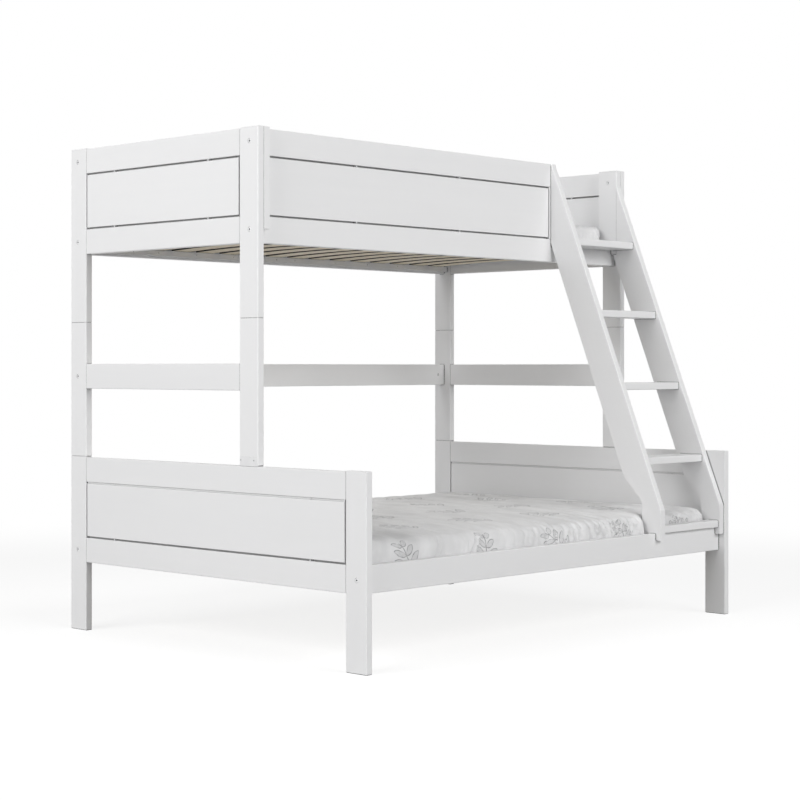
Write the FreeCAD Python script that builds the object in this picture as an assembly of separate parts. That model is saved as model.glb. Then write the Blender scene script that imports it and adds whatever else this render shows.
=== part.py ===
import FreeCAD, Part
import math
import os

Vector = FreeCAD.Vector

# Bunk bed with a wide lower bed, a narrow upper bed along its rear edge and a leaning ladder.
# Millimetres. X runs along the bed, Y from front to rear, Z up from the floor.

# Mattresses and the room around them
MATTRESS_LENGTH = 2000.0
LOWER_MATTRESS_WIDTH = 1400.0
UPPER_MATTRESS_WIDTH = 900.0
MATTRESS_HEIGHT = 110.0
MATTRESS_CROWN = 14.0
MATTRESS_END_GAP = 7.0
MATTRESS_SIDE_GAP = 4.0
MATTRESS_SEAT_GAP = 0.3
LOWER_CORNER_RADIUS = 60.0
CORNER_BOARD_GAP = 4.0
PUFF_PITCH = 250.0
PUFF_BULGE = 4.0
SIDE_DRAW_IN = 5.0
FOOT_DENT_GAP = 1.0
FOOT_DENT_ROUND = 3.0

# Painted boards that make up the whole frame
BOARD_THICKNESS = 28.0
BOARD_WIDTH = 91.0
EDGE_ROUND = 3.0
END_CHAMFER = 2.0
RAIL_SETBACK = 28.0
RAIL_BOTTOM = 252.0
PANEL_HEIGHT = 194.0
PANEL_THICKNESS = 26.0
PANEL_GAP = 6.0
PANEL_EDGE_ROUND = 2.0
POST_RISE = 3.0
EXTENSION_HEIGHT = 495.0
MID_RAIL_RISE = 250.5

# Joinery
FIT = 0.2
TENON_THICKNESS = 10.0
TENON_HEIGHT = 56.0
TENON_LENGTH = 20.0
POST_TENON_WIDTH = 44.0
POST_TENON_LENGTH = 30.0
DOWEL_RADIUS = 4.0
DOWEL_SEAT = 10.0
END_DOWEL_INSET = 163.0
GUARD_DOWEL_INSET = 445.0
GUARD_DOWEL_SPACING = 558.0

# Frame bolts with barrel nuts in the rails
BOLT_RADIUS = 4.0
BOLT_HEAD_RADIUS = 8.0
BOLT_HEAD_HEIGHT = 3.0
BARREL_SETBACK = 42.0
BARREL_RADIUS = 6.0
BARREL_SKIN = 5.0
BARREL_SINK = 1.0
BOLT_TAIL = 12.0
SLEEVE_RADIUS = 6.0
SLEEVE_LENGTH = 22.0

# Steel shoes under the front extension posts
SHOE_THICKNESS = 1.5
SHOE_HEIGHT = 31.0
SHOE_SIDE_MARGIN = 3.0

# Slatted bases
LEDGER_THICKNESS = 20.0
LEDGER_HEIGHT = 22.0
LEDGER_RISE = 9.0
LEDGER_END_GAP = 4.0
LEDGER_NOTCH_LENGTH = 60.0
LEDGER_NOTCH_DEPTH = 4.0
LEDGER_NOTCH_SPACING = 730.0
SLAT_WIDTH = 90.0
SLAT_THICKNESS = 18.0
SLAT_PITCH = 124.0
SLAT_SIDE_GAP = 5.0
SLAT_END_GAP = 2.0
SLAT_CHAMFER = 2.0
HANGER_THICKNESS = 2.0
HANGER_DEPTH = 40.0
HANGER_FLANGE = 24.0
HANGER_RISE = 48.0

# Guard of the upper bed
GUARD_STILE_WIDTH = 36.0

# Ladder
LADDER_CLEAR_WIDTH = 371.5
LADDER_GAP = 0.3
LADDER_SIDE_GAP = 1.0
STRINGER_WIDTH = 117.0
STRINGER_TIP = 3.0
FOOT_SETBACK = 5.0
FOOT_KNEE_HEIGHT = 433.0
FOOT_DEPTH = 84.0
FOOT_LIP_DROP = 25.0
FOOT_LIP_GAP = 1.5
SCOOP_DEPTH_HEIGHT = 118.0
SCOOP_RUN = 1.0
SCOOP_FOOT_ROUND = 60.0
TREAD_PITCH = 284.5
TREAD_COUNT = 4
TREAD_SETBACK = 6.0
TREAD_ROUND = 4.0
TREAD_HOUSING = 8.0

# Sizes that follow from the ones above
BED_LENGTH = MATTRESS_LENGTH + 2 * (MATTRESS_END_GAP + BOARD_THICKNESS)
FRAME_SIDE = MATTRESS_SIDE_GAP + BOARD_THICKNESS + RAIL_SETBACK
LOWER_WIDTH = LOWER_MATTRESS_WIDTH + 2 * FRAME_SIDE
UPPER_WIDTH = UPPER_MATTRESS_WIDTH + 2 * FRAME_SIDE
HALF_LENGTH = BED_LENGTH / 2
INNER_X = HALF_LENGTH - BOARD_THICKNESS
CORNER_X = INNER_X - BOARD_THICKNESS
REAR_Y = LOWER_WIDTH / 2
REAR_RAIL_Y = REAR_Y - RAIL_SETBACK - BOARD_THICKNESS
LOWER_FRONT_Y = REAR_Y - LOWER_WIDTH
UPPER_FRONT_Y = REAR_Y - UPPER_WIDTH
LEFT = -1
RIGHT = 1
LETTERS = {"x": Vector(1, 0, 0), "y": Vector(0, 1, 0), "z": Vector(0, 0, 1)}

solids = {}


class Deck:
    """Heights and front plane of one of the two beds."""

    def __init__(self, base, front_y):
        self.base = base
        self.front_y = front_y
        self.rail_bottom = base + RAIL_BOTTOM
        self.rail_top = self.rail_bottom + BOARD_WIDTH
        self.panel_bottom = self.rail_top + PANEL_GAP
        self.panel_top = self.panel_bottom + PANEL_HEIGHT
        self.cap_bottom = self.panel_top + PANEL_GAP
        self.cap_top = self.cap_bottom + BOARD_WIDTH
        self.post_top = self.cap_top + POST_RISE
        self.rail_middle = self.rail_bottom + BOARD_WIDTH / 2
        self.cap_middle = self.cap_bottom + BOARD_WIDTH / 2
        self.front_rail_y = front_y + RAIL_SETBACK
        self.inner_front_y = self.front_rail_y + BOARD_THICKNESS
        self.ledger_bottom = self.rail_bottom + LEDGER_RISE
        self.slat_bottom = self.ledger_bottom + LEDGER_HEIGHT
        self.mattress_bottom = self.slat_bottom + SLAT_THICKNESS + MATTRESS_SEAT_GAP
        self.middle_y = (front_y + REAR_Y) / 2


LOWER = Deck(0.0, LOWER_FRONT_Y)
UPPER = Deck(LOWER.post_top + EXTENSION_HEIGHT, UPPER_FRONT_Y)
MID_RAIL_Z = LOWER.post_top + MID_RAIL_RISE


# Basic shapes

def block(x, y, z):
    """A plain box from three pairs of limits, in any order."""
    low = Vector(min(x), min(y), min(z))
    return Part.makeBox(abs(x[1] - x[0]), abs(y[1] - y[0]), abs(z[1] - z[0]), low)


def edges_along(shape, letters):
    """The straight edges of a shape that run along the named axes."""
    wanted = [LETTERS[letter] for letter in letters]
    chosen = []
    for edge in shape.Edges:
        direction = edge.tangentAt(edge.FirstParameter)
        if any(abs(direction.dot(axis)) > 0.999 for axis in wanted):
            chosen.append(edge)
    return chosen


def board(x, y, z, letters, radius=EDGE_ROUND):
    """A board whose edges along the named axes are softly rounded."""
    shape = block(x, y, z)
    return shape.makeFillet(radius, edges_along(shape, letters))


def beam(x, y, z, grain):
    """A board with rounded edges along its grain and lightly bevelled ends."""
    shape = board(x, y, z, grain)
    rims = []
    for face in shape.Faces:
        if abs(face.normalAt(0, 0).dot(LETTERS[grain])) > 0.999:
            rims += face.Edges
    return shape.makeChamfer(END_CHAMFER, rims)


def rod(radius, start, direction, length):
    """A round bar from a start point along a direction."""
    return Part.makeCylinder(radius, length, start, direction)


def side_x(side, start, depth):
    """Limits along X from a distance off the middle, going inwards by a depth."""
    return (side * start, side * (start - depth))


def cut(name, tool):
    """Take a tool shape out of a named piece."""
    solids[name] = solids[name].cut(tool)


def group(shapes):
    """Several loose solids that share one node."""
    return Part.makeCompound(shapes)


# End boards, posts and the rails between them

def tenon_block(x, y_end, direction, z_middle, grow):
    """The stub tenon on a rail's end, or its mortise when grown by a clearance."""
    middle = (x[0] + x[1]) / 2
    half_t = TENON_THICKNESS / 2 + grow
    half_h = TENON_HEIGHT / 2 + grow
    root = y_end - direction * END_CHAMFER
    reach = y_end + direction * (TENON_LENGTH + grow)
    return block((middle - half_t, middle + half_t), (root, reach), (z_middle - half_h, z_middle + half_h))


def cross_rail(name, side, front_y, z_bottom, rear_post, front_post):
    """A rail across the bed's end, tenoned into the two posts."""
    x = side_x(side, HALF_LENGTH, BOARD_THICKNESS)
    y = (front_y + BOARD_WIDTH, REAR_Y - BOARD_WIDTH)
    z_middle = z_bottom + BOARD_WIDTH / 2
    rail = beam(x, y, (z_bottom, z_bottom + BOARD_WIDTH), "y")
    for y_end, direction, post in ((y[0], -1, front_post), (y[1], 1, rear_post)):
        rail = rail.fuse(tenon_block(x, y_end, direction, z_middle, 0.0))
        cut(post, tenon_block(x, y_end, direction, z_middle, FIT))
    solids[name] = rail.removeSplitter()


def post(name, side, y, z):
    """An upright board in the plane of the bed's end."""
    solids[name] = beam(side_x(side, HALF_LENGTH, BOARD_THICKNESS), y, z, "z")


def end_panel(name, side, deck):
    """The panel that hangs between an end's two rails with an open gap all round."""
    margin = (BOARD_THICKNESS - PANEL_THICKNESS) / 2
    x = side_x(side, HALF_LENGTH - margin, PANEL_THICKNESS)
    reach = BOARD_WIDTH + PANEL_GAP
    y = (deck.front_y + reach, REAR_Y - reach)
    solids[name] = board(x, y, (deck.panel_bottom, deck.panel_top), "y", PANEL_EDGE_ROUND)


def end_board(prefix, hand, side, deck, posts):
    """One end of a bed: two posts, two rails and a panel."""
    rear_post, front_post = posts
    post(rear_post, side, (REAR_Y - BOARD_WIDTH, REAR_Y), (deck.base, deck.post_top))
    post(front_post, side, (deck.front_y, deck.front_y + BOARD_WIDTH), (deck.base, deck.post_top))
    cross_rail(f"{prefix}_{hand}_bottom_rail", side, deck.front_y, deck.rail_bottom, rear_post, front_post)
    cross_rail(f"{prefix}_{hand}_top_rail", side, deck.front_y, deck.cap_bottom, rear_post, front_post)
    end_panel(f"{prefix}_{hand}_panel", side, deck)


def extension_frame(hand, side):
    """Two extension posts and the mid rail between them at one end of the bed."""
    rear_post = f"extension_post_rear_{hand}"
    front_post = f"extension_post_front_{hand}"
    post(rear_post, side, (REAR_Y - BOARD_WIDTH, REAR_Y), (LOWER.post_top, UPPER.base))
    front_y = (UPPER.front_y, UPPER.front_y + BOARD_WIDTH)
    post(front_post, side, front_y, (LOWER.cap_top + SHOE_THICKNESS, UPPER.base))
    cross_rail(f"mid_rail_{hand}", side, UPPER.front_y, MID_RAIL_Z, rear_post, front_post)


def long_rail(name, y_outer, direction, z_bottom, x_reach):
    """A rail along the bed between the two ends."""
    y = (y_outer, y_outer + direction * BOARD_THICKNESS)
    solids[name] = beam((-x_reach, x_reach), y, (z_bottom, z_bottom + BOARD_WIDTH), "x")


def corner_board(name, side, y_outer, direction, deck):
    """A board that doubles an upper post on its inner face and forks over the side rail."""
    x = side_x(side, INNER_X, BOARD_THICKNESS)
    y = (y_outer, y_outer + direction * BOARD_WIDTH)
    shape = beam(x, y, (deck.rail_middle, deck.post_top), "z")
    y_slot = y_outer + direction * (RAIL_SETBACK - FIT)
    slot_y = (y_slot, y_slot + direction * (BOARD_THICKNESS + 2 * FIT))
    slot_z = (deck.rail_middle - EDGE_ROUND, deck.rail_top + FIT)
    solids[name] = shape.cut(block(side_x(side, HALF_LENGTH, 3 * BOARD_THICKNESS), slot_y, slot_z))


# Guards along the upper bed's long sides

def guard(prefix, y_outer, direction, x_end, panel_end):
    """A guard's top rail and panel from the left corner board to a given end."""
    y = (y_outer, y_outer + direction * BOARD_THICKNESS)
    solids[f"{prefix}_guard_rail"] = beam((-CORNER_X, x_end), y, (UPPER.cap_bottom, UPPER.cap_top), "x")
    margin = (BOARD_THICKNESS - PANEL_THICKNESS) / 2
    panel_y = (y_outer + direction * margin, y_outer + direction * (margin + PANEL_THICKNESS))
    panel_x = (-CORNER_X + PANEL_GAP, panel_end - PANEL_GAP)
    panel_z = (UPPER.panel_bottom, UPPER.panel_top)
    solids[f"{prefix}_guard_panel"] = board(panel_x, panel_y, panel_z, "x", PANEL_EDGE_ROUND)


LADDER_RIGHT_X = CORNER_X - LADDER_SIDE_GAP
LADDER_LEFT_X = LADDER_RIGHT_X - LADDER_CLEAR_WIDTH
GUARD_END_X = LADDER_LEFT_X
GUARD_STILE_X = GUARD_END_X - GUARD_STILE_WIDTH


def guards():
    """The front guard that stops at the ladder and the full rear guard."""
    guard("front", UPPER.front_rail_y, 1, GUARD_END_X, GUARD_STILE_X)
    guard("rear", REAR_Y - RAIL_SETBACK, -1, CORNER_X, CORNER_X)
    stile_y = (UPPER.front_rail_y, UPPER.inner_front_y)
    stile_z = (UPPER.rail_top, UPPER.cap_bottom)
    solids["front_guard_stile"] = board((GUARD_STILE_X, GUARD_END_X), stile_y, stile_z, "z")


# Dowels that carry the panels in their gaps

def dowel_row(points, deck, panel, low_rail, high_rail):
    """Dowels below and above a panel at the given plan points, with their holes."""
    dowels = []
    for x, y in points:
        for z_gap, low, high in ((deck.rail_top, low_rail, panel), (deck.panel_top, panel, high_rail)):
            start = Vector(x, y, z_gap - DOWEL_SEAT)
            length = PANEL_GAP + 2 * DOWEL_SEAT
            up = LETTERS["z"]
            dowels.append(rod(DOWEL_RADIUS, start, up, length))
            hole = rod(DOWEL_RADIUS + FIT, start - up * FIT, up, length + 2 * FIT)
            cut(low, hole)
            cut(high, hole)
    return dowels


def panel_dowels():
    """All panel dowels of the end boards and the guards."""
    dowels = []
    for prefix, deck in (("lower", LOWER), ("upper", UPPER)):
        inset = BOARD_WIDTH + END_DOWEL_INSET
        for hand, side in (("left", LEFT), ("right", RIGHT)):
            x = side * (HALF_LENGTH - BOARD_THICKNESS / 2)
            points = [(x, deck.front_y + inset), (x, REAR_Y - inset)]
            stem = f"{prefix}_{hand}"
            rails = (f"{stem}_bottom_rail", f"{stem}_top_rail")
            dowels += dowel_row(points, deck, f"{stem}_panel", *rails)
    first_x = -CORNER_X + PANEL_GAP + GUARD_DOWEL_INSET
    front_y = UPPER.front_rail_y + BOARD_THICKNESS / 2
    rear_y = REAR_RAIL_Y + BOARD_THICKNESS / 2
    front_points = [(first_x + step * GUARD_DOWEL_SPACING, front_y) for step in range(2)]
    rear_points = [(step * GUARD_DOWEL_SPACING, rear_y) for step in (-1, 0, 1)]
    dowels += dowel_row(front_points, UPPER, "front_guard_panel", "upper_front_rail", "front_guard_rail")
    dowels += dowel_row(rear_points, UPPER, "rear_guard_panel", "upper_rear_rail", "rear_guard_rail")
    solids["panel_dowels"] = group(dowels)


# Tenons that stack the posts, and the shoes of the front extension posts

def shoe(side):
    """An angle of sheet steel under and outside a front extension post's foot."""
    x_outer = side * HALF_LENGTH
    sole_x = side_x(side, HALF_LENGTH, BOARD_THICKNESS)
    y = (UPPER.front_y + SHOE_SIDE_MARGIN, UPPER.front_y + BOARD_WIDTH - SHOE_SIDE_MARGIN)
    z = (LOWER.cap_top, LOWER.cap_top + SHOE_THICKNESS)
    face = block((x_outer, x_outer - side * SHOE_THICKNESS), y, (z[0], z[0] + SHOE_HEIGHT))
    return block(sole_x, y, z).fuse(face).removeSplitter()


def shoe_recess(side):
    """The shallow seat in the post for the shoe's upright leg."""
    x_outer = side * HALF_LENGTH
    y = (UPPER.front_y + SHOE_SIDE_MARGIN - FIT, UPPER.front_y + BOARD_WIDTH - SHOE_SIDE_MARGIN + FIT)
    z = (LOWER.cap_top, LOWER.cap_top + SHOE_HEIGHT + FIT)
    return block((x_outer + side, x_outer - side * (SHOE_THICKNESS + FIT)), y, z)


def post_tenon(x_middle, y_middle, z_joint, grow):
    """The stub under a post that stands in the piece below, or its mortise when grown by a clearance."""
    half_x = TENON_THICKNESS / 2 + grow
    half_y = POST_TENON_WIDTH / 2 + grow
    x = (x_middle - half_x, x_middle + half_x)
    y = (y_middle - half_y, y_middle + half_y)
    return block(x, y, (z_joint - POST_TENON_LENGTH - grow, z_joint + END_CHAMFER))


def stacked_posts():
    """Stub tenons and mortises in every post joint, and the two shoes."""
    shoes = []
    for hand, side in (("left", LEFT), ("right", RIGHT)):
        x = side * (HALF_LENGTH - BOARD_THICKNESS / 2)
        rear_y = REAR_Y - BOARD_WIDTH / 2
        front_y = UPPER.front_y + BOARD_WIDTH / 2
        rear_post = f"extension_post_rear_{hand}"
        front_post = f"extension_post_front_{hand}"
        cut(front_post, shoe_recess(side))
        shoes.append(shoe(side).cut(post_tenon(x, front_y, LOWER.cap_top, FIT)))
        joints = (
            (rear_y, LOWER.post_top, f"leg_rear_{hand}", rear_post),
            (front_y, LOWER.cap_top, f"lower_{hand}_top_rail", front_post),
            (rear_y, UPPER.base, rear_post, f"upper_post_rear_{hand}"),
            (front_y, UPPER.base, front_post, f"upper_post_front_{hand}"),
        )
        for y_middle, z_joint, below, above in joints:
            cut(below, post_tenon(x, y_middle, z_joint, FIT))
            stub = post_tenon(x, y_middle, z_joint, 0.0)
            solids[above] = solids[above].fuse(stub).removeSplitter()
    solids["post_shoes"] = group(shoes)


# Bolts through the posts into the long rails

def bolt(side, y, z, length):
    """A flat-headed bolt whose head lies flush in the post's outer face."""
    start = Vector(side * HALF_LENGTH, y, z)
    inward = Vector(-side, 0, 0)
    head = rod(BOLT_HEAD_RADIUS, start, inward, BOLT_HEAD_HEIGHT)
    return head.fuse(rod(BOLT_RADIUS, start, inward, length)).removeSplitter()


def bolt_bore(side, y, z, length):
    """The hole and counterbore that a bolt runs in."""
    start = Vector(side * HALF_LENGTH, y, z)
    inward = Vector(-side, 0, 0)
    head = rod(BOLT_HEAD_RADIUS + FIT, start, inward, BOLT_HEAD_HEIGHT + FIT)
    return head.fuse(rod(BOLT_RADIUS + FIT, start, inward, length + FIT))


def barrel(side, y_inner, outward, z, grip, grow):
    """A barrel nut let into a rail from its inner face, or its hole when grown by a clearance."""
    x = side * (HALF_LENGTH - grip - BARREL_SETBACK)
    sink = BARREL_SINK if grow == 0 else 0.0
    depth = BOARD_THICKNESS - BARREL_SKIN - sink
    start = Vector(x, y_inner + outward * sink, z)
    return rod(BARREL_RADIUS + grow, start, Vector(0, outward, 0), depth + grow)


def bolted_rail(rail, posts, side, y_inner, outward, z, grip):
    """One bolt and its barrel nut at one end of a long rail, with all their holes."""
    y = y_inner + outward * BOARD_THICKNESS / 2
    length = grip + BARREL_SETBACK + BOLT_TAIL
    bore = bolt_bore(side, y, z, length)
    for name in posts + [rail]:
        cut(name, bore)
    cut(rail, barrel(side, y_inner, outward, z, grip, FIT))
    nut = barrel(side, y_inner, outward, z, grip, 0.0).cut(bore)
    return bolt(side, y, z, length), nut


def sleeve_bolt(posts):
    """The bolt beside the ladder, which ends in a sleeve nut in the corner board."""
    y = UPPER.front_rail_y + BOARD_THICKNESS / 2
    z = UPPER.cap_middle
    grip = 2 * BOARD_THICKNESS
    length = grip - SLEEVE_LENGTH / 2
    bore = bolt_bore(RIGHT, y, z, grip)
    inner = Vector(CORNER_X, y, z)
    out = LETTERS["x"]
    seat = rod(BOLT_HEAD_RADIUS + FIT, inner, out, BOLT_HEAD_HEIGHT + FIT)
    seat = seat.fuse(rod(SLEEVE_RADIUS + FIT, inner, out, SLEEVE_LENGTH + FIT))
    for name in posts:
        cut(name, bore)
    cut(posts[-1], seat)
    nut = rod(BOLT_HEAD_RADIUS, inner, out, BOLT_HEAD_HEIGHT)
    nut = nut.fuse(rod(SLEEVE_RADIUS, inner, out, SLEEVE_LENGTH)).removeSplitter()
    thread = rod(BOLT_RADIUS + FIT, inner + out * BOLT_HEAD_HEIGHT, out, SLEEVE_LENGTH)
    return bolt(RIGHT, y, z, length), nut.cut(thread)


def bolts():
    """Every frame bolt and nut."""
    pairs = []
    thin = BOARD_THICKNESS
    thick = 2 * BOARD_THICKNESS
    for hand, side in (("left", LEFT), ("right", RIGHT)):
        low = (("front", LOWER.inner_front_y, -1), ("rear", REAR_RAIL_Y, 1))
        for place, y_inner, out in low:
            leg = [f"leg_{place}_{hand}"]
            pairs.append(bolted_rail(f"lower_{place}_rail", leg, side, y_inner, out, LOWER.rail_middle, thin))
        high = (("front", UPPER.inner_front_y, -1), ("rear", REAR_RAIL_Y, 1))
        for place, y_inner, out in high:
            upright = f"upper_post_{place}_{hand}"
            rail = f"upper_{place}_rail"
            corner = f"corner_board_{place}_{hand}"
            cut(corner, bolt_bore(side, y_inner + out * thin / 2, UPPER.rail_middle, thick))
            pairs.append(bolted_rail(rail, [upright], side, y_inner, out, UPPER.rail_middle, thin))
            both = [upright, corner]
            if place == "front" and side == RIGHT:
                pairs.append(sleeve_bolt(both))
            else:
                cap = f"{place}_guard_rail"
                pairs.append(bolted_rail(cap, both, side, y_inner, out, UPPER.cap_middle, thick))
        middle = MID_RAIL_Z + BOARD_WIDTH / 2
        upright = [f"extension_post_rear_{hand}"]
        pairs.append(bolted_rail("mid_rail_rear", upright, side, REAR_RAIL_Y, 1, middle, thin))
    solids["frame_bolts"] = group([pair[0] for pair in pairs])
    solids["bolt_nuts"] = group([pair[1] for pair in pairs])


# Slatted bases

def ledger(y_inner, direction, deck):
    """A batten along the inside of a side rail, with finger notches in its lower edge."""
    reach = INNER_X - LEDGER_END_GAP
    y = (y_inner, y_inner + direction * LEDGER_THICKNESS)
    z_low = deck.ledger_bottom
    shape = block((-reach, reach), y, (z_low, z_low + LEDGER_HEIGHT))
    radius = LEDGER_NOTCH_LENGTH ** 2 / (8 * LEDGER_NOTCH_DEPTH) + LEDGER_NOTCH_DEPTH / 2
    for step in (-1, 0, 1):
        x = step * LEDGER_NOTCH_SPACING
        start = Vector(x, y_inner, z_low + LEDGER_NOTCH_DEPTH - radius)
        shape = shape.cut(rod(radius, start, Vector(0, direction, 0), LEDGER_THICKNESS))
    return shape


def slats(deck):
    """The row of loose slats that lies on two ledgers."""
    room = 2 * (CORNER_X - SLAT_END_GAP) - SLAT_WIDTH
    steps = int(room // SLAT_PITCH)
    y = (deck.inner_front_y + SLAT_SIDE_GAP, REAR_RAIL_Y - SLAT_SIDE_GAP)
    z = (deck.slat_bottom, deck.slat_bottom + SLAT_THICKNESS)
    row = []
    for step in range(steps + 1):
        x = (step - steps / 2) * SLAT_PITCH
        slat = block((x - SLAT_WIDTH / 2, x + SLAT_WIDTH / 2), y, z)
        row.append(slat.makeChamfer(SLAT_CHAMFER, edges_along(slat, "y")))
    return group(row)


def beam_hanger(side):
    """A folded steel shoe on the end rail that holds the centre beam's end."""
    half = BOARD_WIDTH / 2 + FIT
    x = side_x(side, INNER_X, HANGER_DEPTH)
    high = LOWER.slat_bottom
    low = high - BOARD_THICKNESS
    cheek_y = half + HANGER_THICKNESS
    y_mid = LOWER.middle_y
    outer_z = (low - HANGER_THICKNESS, high - HANGER_THICKNESS)
    outer = block(x, (y_mid - cheek_y, y_mid + cheek_y), outer_z)
    trough = block(x, (y_mid - half, y_mid + half), (low, high))
    flange_y = cheek_y + HANGER_FLANGE
    flange_z = (LOWER.rail_bottom + EDGE_ROUND, LOWER.rail_bottom + HANGER_RISE)
    flange_x = side_x(side, INNER_X, HANGER_THICKNESS)
    flange = block(flange_x, (y_mid - flange_y, y_mid + flange_y), flange_z)
    return outer.fuse(flange).cut(trough).removeSplitter()


def slatted_bases():
    """Ledgers and slats of both beds, and the lower bed's centre beam."""
    for prefix, deck in (("lower", LOWER), ("upper", UPPER)):
        pair = [ledger(deck.inner_front_y, 1, deck), ledger(REAR_RAIL_Y, -1, deck)]
        solids[f"{prefix}_ledgers"] = group(pair)
        solids[f"{prefix}_slats"] = slats(deck)
    half = BOARD_WIDTH / 2
    y = (LOWER.middle_y - half, LOWER.middle_y + half)
    z = (LOWER.slat_bottom - BOARD_THICKNESS, LOWER.slat_bottom)
    solids["centre_beam"] = beam((-INNER_X, INNER_X), y, z, "x")
    solids["beam_hangers"] = group([beam_hanger(LEFT), beam_hanger(RIGHT)])


# Mattresses

def side_points(start, end, outward, count, draw):
    """Seam points along one side, drawn in towards the middle of the side."""
    points = []
    for step in range(count + 1):
        t = step / count
        pull = draw * 4 * t * (1 - t)
        points.append(start + (end - start) * t - outward * pull)
    return points


def cushion_outline(half_x, half_y, radius, middle_y, z, bulge, draw, counts):
    """A closed outline of puffed sides and round corners at one height."""
    corners = ((1, -1), (1, 1), (-1, 1), (-1, -1))
    outwards = (Vector(1, 0, 0), Vector(0, 1, 0), Vector(-1, 0, 0), Vector(0, -1, 0))
    diagonal = radius * (1 - math.sqrt(0.5))
    edges = []
    for index, outward in enumerate(outwards):
        sx, sy = corners[index]
        nx, ny = corners[(index + 1) % 4]
        along = Vector(nx - sx, ny - sy, 0).normalize()
        start = Vector(sx * half_x, sy * half_y + middle_y, z) + along * radius
        end = Vector(nx * half_x, ny * half_y + middle_y, z) - along * radius
        points = side_points(start, end, outward, counts[index % 2], draw)
        for a, b in zip(points, points[1:]):
            edges.append(Part.Arc(a, (a + b) * 0.5 + outward * bulge, b).toShape())
        next_outward = outwards[(index + 1) % 4]
        corner = Vector(nx * half_x, ny * half_y + middle_y, z)
        turn = end + next_outward * radius - outward * radius
        middle = corner - (outward + next_outward) * diagonal
        edges.append(Part.Arc(end, middle, turn).toShape())
    return Part.Wire(edges)


def cushion(length, width, radius, middle_y, z_low):
    """A sewn mattress: drawn-in puffed sides, a rolled edge and a crowned top."""
    counts = (round(width / PUFF_PITCH), round(length / PUFF_PITCH))
    high = MATTRESS_HEIGHT
    levels = (
        (0.0, 12.0, 0.1),
        (0.09, 3.0, 0.5),
        (0.30, 0.5, 0.9),
        (0.60, 0.0, 1.0),
        (0.82, 4.0, 0.8),
        (0.94, 14.0, 0.5),
        (1.00, 34.0, 0.25),
    )
    sections = [(share * high, inset, puff) for share, inset, puff in levels]
    sections.append((high + 0.6 * MATTRESS_CROWN, 0.13 * width, 0.12))
    sections.append((high + MATTRESS_CROWN, 0.32 * width, 0.05))
    wires = []
    for rise, inset, puff in sections:
        bulge = PUFF_BULGE * puff
        half_x = length / 2 - inset - bulge
        half_y = width / 2 - inset - bulge
        draw = SIDE_DRAW_IN * puff
        z = z_low + rise
        wires.append(cushion_outline(half_x, half_y, radius, middle_y, z, bulge, draw, counts))
    return Part.makeLoft(wires, True, True)


def upper_corner_radius():
    """The round corner that just clears the corner boards."""
    a = HALF_LENGTH - 2 * BOARD_THICKNESS - MATTRESS_LENGTH / 2
    b = FRAME_SIDE - BOARD_WIDTH
    total = CORNER_BOARD_GAP - a - b
    return total + math.sqrt(total ** 2 - (a * a + b * b - CORNER_BOARD_GAP ** 2))


def foot_dent(x_low):
    """The hollow that a ladder foot presses into the lower mattress."""
    x = (x_low - FOOT_DENT_GAP, x_low + BOARD_THICKNESS + FOOT_DENT_GAP)
    foot_rear = LOWER_FRONT_Y + FOOT_SETBACK + FOOT_DEPTH
    y = (LOWER_FRONT_Y, foot_rear + FOOT_DENT_GAP)
    z = (LOWER.rail_top - FOOT_DENT_GAP, LOWER.mattress_bottom + 2 * MATTRESS_HEIGHT)
    dent = block(x, y, z)
    inner = [edge for edge in edges_along(dent, "z") if edge.CenterOfMass.y > foot_rear]
    return dent.makeFillet(FOOT_DENT_ROUND, inner)


def mattresses():
    """The two mattresses, the lower one dented by the ladder's feet."""
    lower = cushion(
        MATTRESS_LENGTH, LOWER_MATTRESS_WIDTH, LOWER_CORNER_RADIUS, LOWER.middle_y, LOWER.mattress_bottom
    )
    for x_low in (LADDER_LEFT_X - BOARD_THICKNESS, LADDER_RIGHT_X):
        lower = lower.cut(foot_dent(x_low))
    solids["lower_mattress"] = lower
    solids["upper_mattress"] = cushion(
        MATTRESS_LENGTH, UPPER_MATTRESS_WIDTH, upper_corner_radius(), UPPER.middle_y, UPPER.mattress_bottom
    )


# Ladder

FOOT_Y = LOWER_FRONT_Y + FOOT_SETBACK
LEAN_Y = UPPER.front_rail_y - LADDER_GAP
LADDER_RUN = (LEAN_Y - STRINGER_TIP - FOOT_Y) / (UPPER.cap_top - FOOT_KNEE_HEIGHT)
STRINGER_SPAN = STRINGER_WIDTH * math.sqrt(1 + LADDER_RUN ** 2)
SCOOP_Z = FOOT_KNEE_HEIGHT + SCOOP_DEPTH_HEIGHT


def front_edge_y(z):
    """Where a stringer's sloping front edge is at a height."""
    return FOOT_Y + (z - FOOT_KNEE_HEIGHT) * LADDER_RUN


def rear_edge_y(z):
    """Where a stringer's sloping rear edge is at a height."""
    return front_edge_y(z) + STRINGER_SPAN


def side_prism(outline, x_low, thickness):
    """A flat outline in the YZ plane, thickened along X."""
    points = [Vector(x_low, y, z) for y, z in outline]
    face = Part.Face(Part.makePolygon(points + points[:1]))
    return face.extrude(Vector(thickness, 0, 0))


def sloping_board(x_low):
    """The straight, round-edged board that a stringer is cut from."""
    low = LOWER.rail_bottom
    high = UPPER.post_top + BOARD_WIDTH
    outline = (
        (front_edge_y(low), low),
        (rear_edge_y(low), low),
        (rear_edge_y(high), high),
        (front_edge_y(high), high),
    )
    shape = side_prism(outline, x_low, BOARD_THICKNESS)
    slope = Vector(0, LADDER_RUN, 1).normalize()
    long_edges = []
    for edge in shape.Edges:
        if abs(edge.tangentAt(edge.FirstParameter).dot(slope)) > 0.999:
            long_edges.append(edge)
    return shape.makeFillet(EDGE_ROUND, long_edges)


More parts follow.
